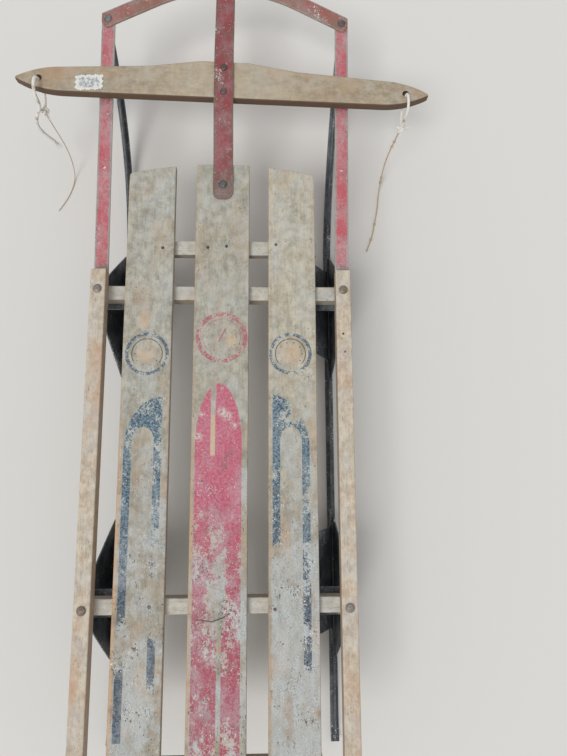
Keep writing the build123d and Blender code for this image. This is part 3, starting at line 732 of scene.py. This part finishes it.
def slat_material(name, side, prints, left_edge_x):
    """Old wood, then its prints, then the dust, with cleaner wood on its long edges. The wood is painted
    darker towards the rear and on its side faces, as shade.
    """
    margin_tan, cover_gain, cover_from, pale, dark = {
        -1: (0.75, 0.03, (-0.38, -0.46), paint(194, 191, 178), paint(146, 141, 127)),
        0: (0.42, 0.04, (-0.36, -0.46), paint(190, 186, 170), paint(146, 141, 126)),
        1: (0.05, 0.11, (-0.28, -0.40), paint(204, 198, 180), paint(160, 153, 136)),
    }[side]
    material, tree, shader, place = new_material(name)
    axes = split(tree, place)
    across = times(tree, axes["X"], float(side)) if side else axes["X"]
    ahead = calc(tree, "SUBTRACT", axes["Y"], float(bench_y))
    # Towards the rear the wood's pale and dark tones are painted darker as shade where the light falls off;
    # more dust, specks and warm patches lie there too.
    rearward = fade(tree, ahead, -0.05, -0.42)
    wood = use(tree, old_wood, {
        "Place": place, "Pale": layer(tree, rearward, pale, paint(178, 170, 156)),
        "Dark": layer(tree, rearward, dark, paint(143, 137, 122)), "Warm": paint(188, 162, 135),
        "Warmth": linear(tree, rearward, 0.35, 0.42)})
    colour = wood["Color"]
    inked = 0.0
    facing = facing_axes(tree)
    top = fade(tree, facing["Z"], 0.80, 0.95)
    for shape, wear, (full, thin, rest) in prints(tree, across, ahead, side):
        shape = times(tree, shape, top)
        printed = use(tree, worn_print, {"Place": place, "Shape": shape, "Wear": wear})
        if rest:
            colour = layer(tree, times(tree, shape, fade(tree, wear, 0.75, 0.45), 0.55), colour, rest)
        colour = layer(tree, printed["Mask"], colour, layer(tree, printed["Tone"], full, thin))
        inked = either(tree, printed["Mask"], inked)
    rub = noise(tree, place, 140.0, 4.0, 0.7)
    from_edge = calc(tree, "SUBTRACT", axes["X"], float(left_edge_x))
    margin = fade(tree, linear(tree, rub, 0.006, from_edge), 0.0085, 0.0055)
    margin_share = linear(tree, fade(tree, ahead, -0.10, -0.30), margin_tan, 0.12)
    colour = layer(tree, times(tree, margin, margin_share), colour, paint(206, 170, 134))
    kept_clean = either(tree, inked, margin)
    dust = linear(tree, rearward, 0.42, 0.40)
    dust = linear(tree, kept_clean, -0.40, dust)
    cover = times(
        tree, fade(tree, ahead, *cover_from), linear(tree, kept_clean, -1.3, 1.0), cover_gain)
    specks = linear(tree, rearward, 0.45, 0.70)
    dusty = use(tree, barn_dust, {
        "Place": place, "Color": colour, "Dust": dust, "Cover": cover, "Specks": specks})
    # Side faces: the left ones take the tan of bare wood, partly a painted highlight where the lamp catches
    # them; the others are painted darker as shade.
    left_edge = fade(tree, facing["X"], -0.45, -0.80)
    shaded_sides = fade(tree, facing["Z"], 0.60, 0.30)
    shaded_side_wood = layer(tree, 0.55, wood["Color"], paint(150, 130, 104))
    colour = layer(tree, shaded_sides, dusty["Color"], shaded_side_wood)
    colour = layer(tree, times(tree, left_edge, margin_share), colour, paint(200, 160, 118))
    rough = linear(tree, dusty["Film"], 0.22, 0.68)
    fill(tree, shader.inputs, {"Base Color": colour, "Roughness": rough, "Specular IOR Level": 0.35})
    bump(tree, shader, linear(tree, inked, 0.25, wood["Height"]), 0.0006, 0.7)
    return material


def dress(node, material):
    """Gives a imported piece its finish."""
    for material_slot in bpy.data.objects[node].material_slots:
        material_slot.material = material


for node, side, prints in (
    ("slat_left", -1, slat_prints), ("slat_centre", 0, centre_prints), ("slat_right", 1, slat_prints),
):
    dress(node, slat_material(node + "_wood", side, prints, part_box(node)[0][0]))

# Benches, cleats and rails: sawn hardwood strips under and beside the slats. The rails
# are bolted down on the bench ends, and their tops are rubbed pale by mittens and ropes.
# The strips' side faces are painted darker as shade.


def strip_material(name, pale, dark, warm, edge, warmth, dust, crosswise=False):
    """Old wood for a narrow strip, with its grain along Y, or along X where it is crosswise.
    Faces that don't look up take on the edge colour, a darker painted shade on the strip's sides."""
    material, tree, shader, place = new_material(name)
    quarter = (0.0, 0.0, math.pi / 2 if crosswise else 0.0)
    grain_place = put(tree, "Mapping", {"Vector": place, "Rotation": quarter}).outputs[0]
    wood = use(tree, old_wood, {
        "Place": grain_place, "Pale": pale, "Dark": dark, "Warm": warm, "Warmth": warmth})
    dusty = use(tree, barn_dust, {"Place": place, "Color": wood["Color"], "Dust": dust, "Specks": 0.6})
    facing = facing_axes(tree)
    # Painted shade: faces that don't look up darken towards the edge colour.
    shaded_side = times(tree, fade(tree, facing["Z"], 0.75, 0.35), 0.6)
    colour = layer(tree, shaded_side, dusty["Color"], edge)
    rough = linear(tree, dusty["Film"], 0.2, 0.66)
    fill(tree, shader.inputs, {"Base Color": colour, "Roughness": rough, "Specular IOR Level": 0.35})
    bump(tree, shader, wood["Height"], 0.0007, 0.8)
    return material


rail_finish = strip_material(
    "rail_wood", pale=paint(218, 206, 186), dark=paint(180, 160, 137), warm=paint(198, 160, 132),
    edge=paint(142, 116, 90), warmth=0.7, dust=0.40)
bench_finish = strip_material(
    "bench_wood", pale=paint(211, 208, 197), dark=paint(180, 173, 157), warm=paint(204, 178, 146),
    edge=paint(112, 88, 66), warmth=0.35, dust=0.60, crosswise=True)
for node in ("rail_left", "rail_right"):
    dress(node, rail_finish)
for node in ("bench_front", "bench_rear", "cleat_front", "cleat_rear"):
    dress(node, bench_finish)

# Nails: the slats are nailed to the cleats and benches with small wire nails, and two
# more are in the right rail. Their heads have rusted dark under the dust.


def turned(name, profile, places, axis="Z", sides=24):
    """Turned pieces at several places, as one mesh. Each is a profile carried round an
    axis: rows of (radius, height), with a third value of 1 where the row is a hexagon."""
    radius, height, hexagon = np.array([(*row, 0.0)[:3] for row in profile]).T[..., None]
    angle = np.linspace(0.0, 2 * math.pi, sides, endpoint=False)
    across_flats = math.cos(math.pi / 6) / np.cos(angle % (math.pi / 3) - math.pi / 6)
    reach = radius * (1.0 - hexagon + hexagon * across_flats / across_flats.min())
    rings = np.stack([reach * np.cos(angle), reach * np.sin(angle), height + 0.0 * angle], axis=-1)
    if axis == "X":
        rings = rings[..., [2, 0, 1]]
    copies = [skin(name, rings + np.array(place), sharp=35) for place in places]
    return gather(copies)


def steel_material(name, clean, rust, rustiness, dust, rough):
    """Bare steel gone dull: grey-brown, with rust in patches, pits and dust."""
    material, tree, shader, place = new_material(name)
    patches = noise(tree, place, 260.0, 4.0, 0.65)
    pits = noise(tree, place, 1500.0, 3.0, 0.6)
    rust_mask = times(tree, fade(tree, patches, 0.42, 0.60), rustiness)
    colour = layer(tree, rust_mask, clean, rust)
    colour = layer(tree, times(tree, fade(tree, pits, 0.52, 0.70), 0.5), colour, paint(48, 40, 36))
    dusty = use(tree, barn_dust, {"Place": place, "Color": colour, "Dust": dust, "Specks": 0.4})
    fill(tree, shader.inputs, {
        "Base Color": dusty["Color"], "Metallic": fade(tree, rust_mask, 1.0, -0.3),
        "Roughness": linear(tree, rust_mask, 0.3, rough)})
    bump(tree, shader, calc(tree, "ADD", pits, patches), 0.0003, 0.6)
    return material


nail_steel = steel_material(
    "nail_steel", paint(96, 84, 76), paint(84, 52, 36), rustiness=0.9, dust=0.25, rough=0.55)
deck_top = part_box("slat_centre")[1][2]
nail_profile = (
    (0.0010, -0.0010), (0.0021, -0.0008), (0.0023, 0.0), (0.0021, 0.0003), (0.0010, 0.00042))
deck_nail_places = (
    (-0.0825, 0.062), (-0.0200, 0.063), (0.0060, 0.065), (0.0750, 0.068), (-0.0857, -0.4141),
    (0.0729, -0.4187), (-0.0840, -0.606), (-0.0190, -0.607), (0.0080, -0.605), (0.0760, -0.606))
rail_nail_places = ((0.1661, -0.062), (0.1682, -0.0867))
rail_nail_share = 0.7
rail_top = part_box("rail_right")[1][2]
for name, share, places, top in (
    ("deck_nails", 1.0, deck_nail_places, deck_top),
    ("rail_nails", rail_nail_share, rail_nail_places, rail_top),
):
    nails = turned(
        name, [(share * radius, height) for radius, height in nail_profile],
        [(x, bench_y + ahead, top) for x, ahead in places], sides=12)
    hang_on(nails, "frame", nail_steel)

# Rail bolts: carriage bolts with low round heads, down through rail, bench and knee to a
# hexagon nut. Their zinc has long gone, and dust lies on the heads.
rail_middle = np.array(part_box("rail_right"))[:, 0].mean()
knee_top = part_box("bench_front")[0][2]
knee_sheet = 0.0018
nut_top = knee_top - knee_sheet
bolt_steel = steel_material(
    "bolt_steel", paint(132, 118, 102), paint(108, 84, 66), rustiness=0.7, dust=0.32, rough=0.5)
nut_rows = (
    (0.0018, -0.0063), (0.0024, -0.0058), (0.0025, -0.0046), (0.0042, -0.0045), (0.0042, -0.0040, 1.0),
    (0.0042, -0.0005, 1.0), (0.0042, 0.0), (0.0025, 0.0))
bolt_head_rows = (
    (0.0025, -0.0004), (0.0058, -0.0002), (0.0060, 0.0003), (0.0058, 0.0009), (0.0050, 0.0017),
    (0.0037, 0.0024), (0.0020, 0.0028), (0.0006, 0.0029))
rail_bolt_profile = [
    (radius, nut_top - rail_top + height, *hexagon) for radius, height, *hexagon in nut_rows]
rail_bolt_profile.extend(bolt_head_rows)
rail_bolts = turned("rail_bolts_turned", rail_bolt_profile, [
    (side * rail_middle, y, rail_top) for side in (-1, 1) for y in (bench_y, rear_bench_y)])
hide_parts("rail_bolts")
hang_on(rail_bolts, "frame", bolt_steel)

# Knees: four pressed sheet-steel legs, each an outer leaf folded in under the bench end
# and a sloping inner brace, riveted to the runner's web and dipped in black paint.


def chipped_paint_group():
    """Old paint on steel: its colour fades in patches, and chips through to what lies under
    it in spots, and along edges that the given wear marks."""
    group, given, result = new_group(
        "chipped_paint", {"Place": "Vector", "Paint": "Color", "Faded": "Color", "Bare": "Color",
                          "Fading": "Float", "Chips": "Float", "Edge": "Float"},
        {"Color": "Color", "Height": "Float"})
    place = given["Place"]
    patches = noise(group, place, 34.0, 4.0, 0.6)
    mottle = noise(group, place, 330.0, 4.0, 0.75)
    chips = noise(group, place, 430.0, 3.0, 0.6)
    spots = noise(group, place, 120.0, 4.0, 0.7)
    faded = times(group, fade(group, linear(group, mottle, 1.1, patches), 0.88, 1.24), given["Fading"])
    colour = layer(group, faded, given["Paint"], given["Faded"])
    edge_level = linear(group, given["Edge"], -0.34, 0.74)
    chip_level = linear(group, given["Chips"], -0.16, edge_level)
    amount = linear(group, spots, 0.45, times(group, chips, 0.62))
    above = calc(group, "SUBTRACT", amount, chip_level)
    chipped = fade(group, above, -0.015, 0.02)
    height = linear(group, mottle, 0.3, times(group, chipped, -1.0))
    fill(group, result, {"Color": layer(group, chipped, colour, given["Bare"]), "Height": height})
    return group


chipped_paint = chipped_paint_group()


def painted_steel(name, paint_colour, faded, bare, fading, chips, dust, rough, edge=None):
    """Painted steel with chips and dust. edge gives the worn rims' mask from the Object
    coordinates, in the material's own tree."""
    material, tree, shader, place = new_material(name)
    edge_mask = edge(tree, place) if edge else 0.0
    coat = use(tree, chipped_paint, {
        "Place": place, "Paint": paint_colour, "Faded": faded, "Bare": bare, "Fading": fading,
        "Chips": chips, "Edge": edge_mask})
    dusty = use(tree, barn_dust, {"Place": place, "Color": coat["Color"], "Dust": dust, "Specks": 0.9})
    fill(tree, shader.inputs, {
        "Base Color": dusty["Color"], "Roughness": linear(tree, dusty["Film"], 0.3, rough),
        "Specular IOR Level": 0.4})
    bump(tree, shader, coat["Height"], 0.0003, 0.6)
    return material


black_coat = painted_steel(
    "black_steel_paint", paint(55, 59, 65), faded=paint(84, 91, 98), bare=paint(96, 74, 62),
    fading=0.8, chips=0.35, dust=0.22, rough=0.5)
for node in sorted(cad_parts):
    if node.startswith("knee_"):
        dress(node, black_coat)

runner_x = 0.163
knee_outer_face = runner_x + 0.0030
knee_rivet_height = 0.0105
knee_rivet_step = 0.07
knee_rivet_profile = (
    (0.0044, 0.0), (0.0045, 0.0006), (0.0040, 0.0015), (0.0028, 0.0021), (0.0010, 0.0024))
for side, word in ((-1, "left"), (1, "right")):
    rivets = turned(
        "knee_rivets_" + word, [(radius, side * height) for radius, height in knee_rivet_profile],
        [(side * knee_outer_face, y + step * knee_rivet_step, knee_rivet_height)
         for y in (bench_y, rear_bench_y) for step in (-1, 0, 1)],
        axis="X", sides=16)
    hang_on(rivets, "frame", black_coat)

# Runners: on each side one length of rolled steel, a flat foot with a thin web on top. In
# front it curls up, the web dies out, and the foot ends in an ear under the strap's nose.
# On the sled, steering bends these fronts sideways; here they are fixed, splayed a little
# outwards. They have the knees' black paint.
runner_joint = bench_y + 0.118
foot_rear_end = bench_y - 0.607
ear_outwards = 0.0123
ear_ahead = 0.3055
splay = math.atan2(ear_outwards, ear_ahead)
foot_middle = 0.0015
tail_arc = 0.030
tail_radius = 0.070
rear_swing = tail_arc / tail_radius
curl_swing = math.radians(52)
curl_radius = 0.300
back_bend_radius = 0.022
narrow_foot_half = 0.006
ear_half = 0.009
ear_straight_half = 0.005
web_root_share = 0.36
web_gone_height = 0.108
web_fade_height = 0.060
web_tail_start = 0.002
web_tail_rise = 0.016
# Each stretch of a runner from its rear end: length, turn upwards, rows
runner_stretches = (
    ((tail_radius - foot_middle) * rear_swing, rear_swing, 10), (0.75705, 0.0, 150),
    (curl_radius * curl_swing, curl_swing, 70), (0.01617, 0.0, 6),
    (back_bend_radius * curl_swing, -curl_swing, 16), (0.010, 0.0, 10), (0.0139, 0.0, 22))


def runner_line():
    """The middle of the runner's foot: its heading grows evenly along each stretch, and its
    place is the sum of the steps taken in that heading."""
    lengths, turns, rows = (np.array(column) for column in zip(*runner_stretches))
    knots = np.append(0.0, np.cumsum(lengths))
    headings = -rear_swing + np.append(0.0, np.cumsum(turns))
    travel = np.linspace(0.0, knots[-1], 8000)
    heading = np.interp(travel, knots, headings)
    step = travel[1]
    forward = np.append(0.0, np.cumsum(np.cos(heading[:-1]))) * step
    upward = np.append(0.0, np.cumsum(np.sin(heading[:-1]))) * step
    forward += foot_rear_end - np.interp(knots[1], travel, forward)
    upward += foot_middle - np.interp(knots[1], travel, upward)
    stations = np.concatenate([
        np.linspace(start, end, count, endpoint=False)
        for start, end, count in zip(knots[:-1], knots[1:], rows)] + [knots[-1:]])
    line = [np.interp(stations, travel, values) for values in (heading, forward, upward)]
    return stations, line, knots


def runner_steel(name, side, nodes):
    """One runner: its T section carried along the line. The web's height share falls to
    nothing up the curl, and the foot widens into the ear's slot, a straight middle with
    half a circle at each end. Ahead of the joint it is splayed outwards."""
    stations, (heading, forward, upward), knots = runner_line()
    from_rivet = stations - knots[-2]
    past_middle = np.clip(np.abs(from_rivet) - ear_straight_half, 0.0, ear_half)
    slot_half = np.sqrt((ear_half ** 2 - past_middle ** 2).clip(0.0))
    foot_half = np.where(from_rivet > 0, slot_half, np.maximum(narrow_foot_half, slot_half))
    curl_share = (web_gone_height - upward) / web_fade_height
    tail_share = (stations + web_tail_start) / web_tail_rise
    web_share = np.minimum(curl_share, tail_share).clip(0.0, 1.0)
    web_share = web_share ** 2 * (3 - 2 * web_share)
    # Half of the section, up its right side, in millimetres but for the first column: share
    # of the foot's half, half of the web, height, rise of the web
    outline = np.array((
        (0.00, 0.0, -1.5, 0), (0.50, 0.0, -1.5, 0), (0.88, 0.0, -1.5, 0), (0.97, 0.0, -1.35, 0),
        (1.00, 0.0, -0.95, 0), (1.00, 0.0, 0.95, 0), (0.97, 0.0, 1.35, 0), (0.88, 0.0, 1.5, 0),
        (web_root_share, 0.0, 1.5, 0), (0.0, 1.50, 1.5, 0.6), (0.0, 1.25, 1.5, 1.4),
        (0.0, 1.25, 1.5, 12.5), (0.0, 0.95, 1.5, 12.9), (0.0, 0.0, 1.5, 13.0)))
    foot_part, web_half, low, rise = outline.T
    half = foot_part * foot_half[:, None]
    half += np.minimum(web_half / 1000, web_root_share * foot_half[:, None])
    height = (low + rise * web_share[:, None]) / 1000
    half = np.hstack([half, -half[:, -2:0:-1]])
    height = np.hstack([height, height[:, -2:0:-1]])
    ahead = (forward - runner_joint)[:, None] - height * np.sin(heading)[:, None]
    turn = np.where(forward > runner_joint, splay, 0.0)[:, None]
    grid = np.stack([
        side * (runner_x + half * np.cos(turn) + ahead * np.sin(turn)),
        runner_joint + ahead * np.cos(turn) - half * np.sin(turn),
        upward[:, None] + height * np.cos(heading)[:, None],
    ], axis=-1)
    piece = skin(name, grid, stations, sharp=30)
    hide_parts(*nodes)
    piece.data.materials.append(black_coat)
    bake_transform(piece)


for side, word in ((-1, "left"), (1, "right")):
    nodes = ("runner_" + word, "runner_front_" + word)
    runner_steel("runner_steel_" + word, side, nodes)

# Side straps: flat strips from under the rails out to the bumper, each with one small
# hole. Their red paint has gone pink and is chipped to grey along the rims.
strap_nose_outwards = 0.0078
strap_nose_ahead = 0.4235
strap_tilt = math.atan2(strap_nose_outwards, strap_nose_ahead)


def strap_rim(tree, place, side):
    """1 along the two long rims, half the strap's width from its splayed middle line, and
    0.6 on the part next to the rail's end."""
    rear_bolt = (side * rail_middle, float(bench_y))
    axes = split(tree, local_place(tree, place, rear_bolt, -side * strap_tilt))
    rim_from, rim_to = 0.0060, 0.0098
    rim = fade(tree, far(tree, axes["X"], 0.0), rim_from, rim_to)
    rail_part_end, rail_part_full = 0.055, 0.028
    by_rail = fade(tree, axes["Y"], rail_part_end, rail_part_full)
    return either(tree, rim, times(tree, by_rail, 0.6))


for side, word in ((-1, "left"), (1, "right")):
    strap_paint = painted_steel(
        "strap_paint_" + word, paint(194, 88, 100), faded=paint(190, 138, 140), bare=paint(164, 150, 144),
        fading=0.85, chips=0.58, dust=0.34, rough=0.5,
        edge=lambda tree, place: strap_rim(tree, place, side))
    dress("side_strap_" + word, strap_paint)

# Bumper: an arched flat strip across the front, riveted to the straps' noses and pinned
# to the tiller strap. Most of its red has turned to rose-brown rust, with a thin pale rim.
bumper_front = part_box("bumper")[1][1]
bumper_half_width = 0.012
bumper_arc_radius = 0.235
bumper_arc_middle = bumper_front - bumper_half_width - bumper_arc_radius
bumper_slope = math.radians(27.5)
arc_end_across = 0.1085


def bumper_rim(tree, place):
    """1 along the strip's rims: half its width from the arc, or from the straight ends
    that are tangent to it."""
    axes = split(tree, place)
    along_x = far(tree, axes["X"], 0.0)
    along_y = calc(tree, "SUBTRACT", axes["Y"], float(bumper_arc_middle))
    squares = [calc(tree, "POWER", value, 2.0) for value in (along_x, along_y)]
    on_arc = calc(tree, "SQRT", calc(tree, "ADD", *squares))
    on_end = calc(
        tree, "ADD", times(tree, along_x, math.sin(bumper_slope)),
        times(tree, along_y, math.cos(bumper_slope)))
    past_arc = fade(tree, along_x, arc_end_across - 0.0015, arc_end_across + 0.0015)
    reach = put(tree, "Mix", {"Factor": past_arc, "A": on_arc, "B": on_end}).outputs[0]
    rim_from, rim_to = 0.0092, 0.0122
    return fade(tree, far(tree, reach, bumper_arc_radius), rim_from, rim_to)


bumper_paint = painted_steel(
    "bumper_paint", paint(158, 92, 86), faded=paint(142, 108, 92), bare=paint(150, 128, 116),
    fading=1.0, chips=0.52, dust=0.22, rough=0.62, edge=bumper_rim)
dress("bumper", bumper_paint)

# Tiller strap: the steel lever on top of the deck that turns on the pivot rivet, rises
# over the bar, to which it is riveted twice, and goes down to the bumper's middle.


def tiller_rim(tree, place):
    """1 along both long rims, and half over the rear part, round the pivot rivet."""
    axes = split(tree, place)
    rim_from, rim_to = 0.0100, 0.0142
    rim = fade(tree, far(tree, axes["X"], 0.0), rim_from, rim_to)
    rear_part = fade(tree, axes["Y"], bench_y + 0.200, bench_y + 0.150)
    return either(tree, rim, times(tree, rear_part, 0.5))


tiller_paint = painted_steel(
    "tiller_paint", paint(150, 62, 72), faded=paint(130, 80, 76), bare=paint(116, 88, 74),
    fading=0.9, chips=0.6, dust=0.20, rough=0.55, edge=tiller_rim)
dress("tiller_strap", tiller_paint)

# Rivets of the steering: soft steel, hammered to low domes above and flat heads below.
# Those at the bumper's ends are a dull grey, and the pivot's is darker.
dome = ((1.0, 0.0), (1.0, 0.10), (0.97, 0.28), (0.86, 0.58), (0.64, 0.84), (0.36, 0.97), (0.10, 1.0))
dome_height = 0.0028
shank_radius = 0.003
bar_rivet_rows = (bench_y + 0.293, bench_y + 0.331)
rivet_steel = steel_material(
    "rivet_steel", paint(96, 86, 82), paint(88, 66, 58), rustiness=0.8, dust=0.22, rough=0.5)
dark_steel = steel_material(
    "pivot_rivet_steel", paint(70, 74, 76), paint(74, 62, 56), rustiness=0.4, dust=0.2, rough=0.55)
dull_steel = steel_material(
    "end_rivet_steel", paint(104, 100, 100), paint(96, 80, 72), rustiness=0.5, dust=0.35, rough=0.6)


def rivet_profile(radius, bottom):
    """A flat head below, a shank and a dome above, with heights measured from the top."""
    flat = (
        (0.4 * radius, bottom), (0.92 * radius, bottom), (radius, bottom + 0.0004),
        (radius, bottom + 0.0018), (0.92 * radius, bottom + 0.0022), (shank_radius, bottom + 0.0022),
        (shank_radius, -dome_height))
    return flat + tuple((share * radius, (rise - 1.0) * dome_height) for share, rise in dome)


for node, body, radius, steel in (
    ("pivot_rivet", "frame", 0.006, dark_steel),
    ("bumper_centre_rivet", lever_body, 0.006, rivet_steel),
    ("bumper_rivet_left", "strap_left", 0.006, dull_steel),
    ("bumper_rivet_right", "strap_right", 0.006, dull_steel),
    ("bar_rivets", lever_body, 0.0053, rivet_steel),
):
    low, high = (np.array(corner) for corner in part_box(node))
    middle = (low + high) / 2
    rows = bar_rivet_rows if node == "bar_rivets" else (middle[1],)
    profile = rivet_profile(radius, low[2] - high[2])
    piece = turned(node + "_turned", profile, [(middle[0], y, high[2]) for y in rows])
    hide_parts(node)
    hang_on(piece, body, steel)

# Steering bar: one hardwood board, planed thin, with pointed ends for the feet. Hands have
# rubbed it paler in the middle, and its rear and under faces are painted dark brown as shade.
bar_finish, tree, shader, place = new_material("bar_wood_finish")
bar_place = local_place(tree, place, bar_middle, bar_skew)
quarter = put(tree, "Mapping", {"Vector": bar_place, "Rotation": (0.0, 0.0, math.pi / 2)}).outputs[0]
wood = use(tree, old_wood, {
    "Place": quarter, "Pale": paint(184, 171, 148), "Dark": paint(150, 134, 112),
    "Warm": paint(180, 150, 118), "Warmth": 0.7})
axes = split(tree, bar_place)
facing = facing_axes(tree)
rubbed = times(tree, fade(tree, far(tree, axes["X"], 0.0), 0.17, 0.04), 0.35)
colour = layer(tree, rubbed, wood["Color"], paint(204, 190, 166))
dusty = use(tree, barn_dust, {"Place": place, "Color": colour, "Dust": 0.22, "Specks": 0.35})
# Painted shade: the rear and under faces are coloured dark brown.
rear_face = fade(tree, facing["Y"], -0.35, -0.75)
under_face = fade(tree, facing["Z"], 0.25, -0.30)
painted_shade_faces = times(tree, either(tree, rear_face, under_face), 0.92)
colour = layer(tree, painted_shade_faces, dusty["Color"], paint(86, 62, 45))
rough = linear(tree, dusty["Film"], 0.2, 0.62)
fill(tree, shader.inputs, {"Base Color": colour, "Roughness": rough, "Specular IOR Level": 0.35})
bump(tree, shader, wood["Height"], 0.0006, 0.8)
dress("steering_bar", bar_finish)

# What is left of a paper label on the bar's left arm: a torn white scrap, blank now,
# stuck down in the middle and lifting at its edges.
paper_middle = np.array([-0.1927, bench_y + 0.3058])
bar_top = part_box("steering_bar")[1][2]
paper_half_x = 0.019
paper_half_y = 0.0115
paper_skew = 0.06
glue_thickness = 0.0001
curl_height = 0.0006
curl_start = 0.75
rows = 41
columns = 31
# The torn edge is the half size with two waves on it, and the ends lift with the square of
# the distance past the stuck part
across, along_bar = np.meshgrid(
    np.linspace(-1.0, 1.0, rows), np.linspace(-1.0, 1.0, columns), indexing="ij")
ragged_x = paper_half_x + 0.0012 * np.sin(9 * along_bar + 1.0) + 0.0007 * np.sin(23 * along_bar)
ragged_y = paper_half_y + 0.0008 * np.sin(11 * across + 2.0) + 0.0006 * np.sin(29 * across + 0.5)
scrap_x = across * ragged_x
scrap_y = along_bar * ragged_y + paper_skew * scrap_x
curled = ((np.abs(across) - curl_start) / (1.0 - curl_start)).clip(0.0) ** 2
lift = glue_thickness + curl_height * curled * (0.5 + 0.5 * np.sin(4 * along_bar))
paper_grid = np.stack([paper_middle[0] + scrap_x, paper_middle[1] + scrap_y, bar_top + lift], axis=-1)
paper_mesh = bpy.data.meshes.new("paper_scrap")
row, column = np.meshgrid(np.arange(rows - 1), np.arange(columns - 1), indexing="ij")
corner = row * columns + column
paper_faces = np.stack(
    [corner, corner + columns, corner + columns + 1, corner + 1], axis=-1).reshape(-1, 4)
paper_mesh.from_pydata(paper_grid.reshape(-1, 3).tolist(), [], paper_faces.tolist())
paper_scrap = add("paper_scrap", paper_mesh)
sheet = paper_scrap.modifiers.new("thickness", "SOLIDIFY")
sheet.thickness = 0.0002
sheet.offset = 1.0
paper, tree, shader, place = new_material("old_paper")
fibre = noise(tree, place, 1400.0, 3.0)
stain = noise(tree, place, 210.0, 4.0, 0.7)
white = layer(tree, fade(tree, fibre, 0.3, 0.7), paint(222, 222, 216), paint(242, 242, 238))
axes = split(tree, place)
inner_part = times(
    tree, fade(tree, far(tree, axes["X"], float(paper_middle[0])), 0.0170, 0.0125),
    fade(tree, far(tree, axes["Y"], float(paper_middle[1])), 0.0100, 0.0060))
rubbed_grey = times(tree, fade(tree, stain, 0.38, 0.60), inner_part, 0.8)
colour = layer(tree, rubbed_grey, white, paint(124, 134, 146))
fill(tree, shader.inputs, {"Base Color": colour, "Roughness": 0.9})
bump(tree, shader, fibre, 0.0002)
hang_on(paper_scrap, lever_body, paper)

# The floor and the light: a pale studio floor, an even pale sky and one soft lamp over
# the sled's left shoulder. A white sheet on this floor comes out just short of white.
floor_half = 4.0
floor_mesh = bpy.data.meshes.new("floor")
floor_corners = [(x * floor_half, y * floor_half, 0) for x, y in ((-1, -1), (1, -1), (1, 1), (-1, 1))]
floor_mesh.from_pydata(floor_corners, [], [(0, 1, 2, 3)])
floor = add("floor", floor_mesh)
floor_paint, tree, shader, place = new_material("floor_paint")
fill(tree, shader.inputs, {"Base Color": paint(226, 224, 220), "Roughness": 0.9})
floor.data.materials.append(floor_paint)
world = bpy.data.worlds.new("sky")
world.use_nodes = True
tree = world.node_tree
rays = put(tree, "LightPath").outputs
seen = either(tree, rays["Is Camera Ray"], rays["Is Glossy Ray"], rays["Is Transmission Ray"])
sky_light = 0.55
sky_seen_more = 0.14
strength = linear(tree, seen, sky_seen_more, sky_light)
fill(tree, tree.nodes["Background"].inputs, {"Color": (1.0, 1.0, 1.0, 1.0), "Strength": strength})
scene.world = world
lamp_light = bpy.data.lights.new("soft_lamp", "SUN")
lamp_light.energy = 1.45
lamp_light.angle = math.radians(25)
lamp = add("soft_lamp", lamp_light)
lamp.rotation_euler = (math.radians(30), math.radians(-22), 0.0)
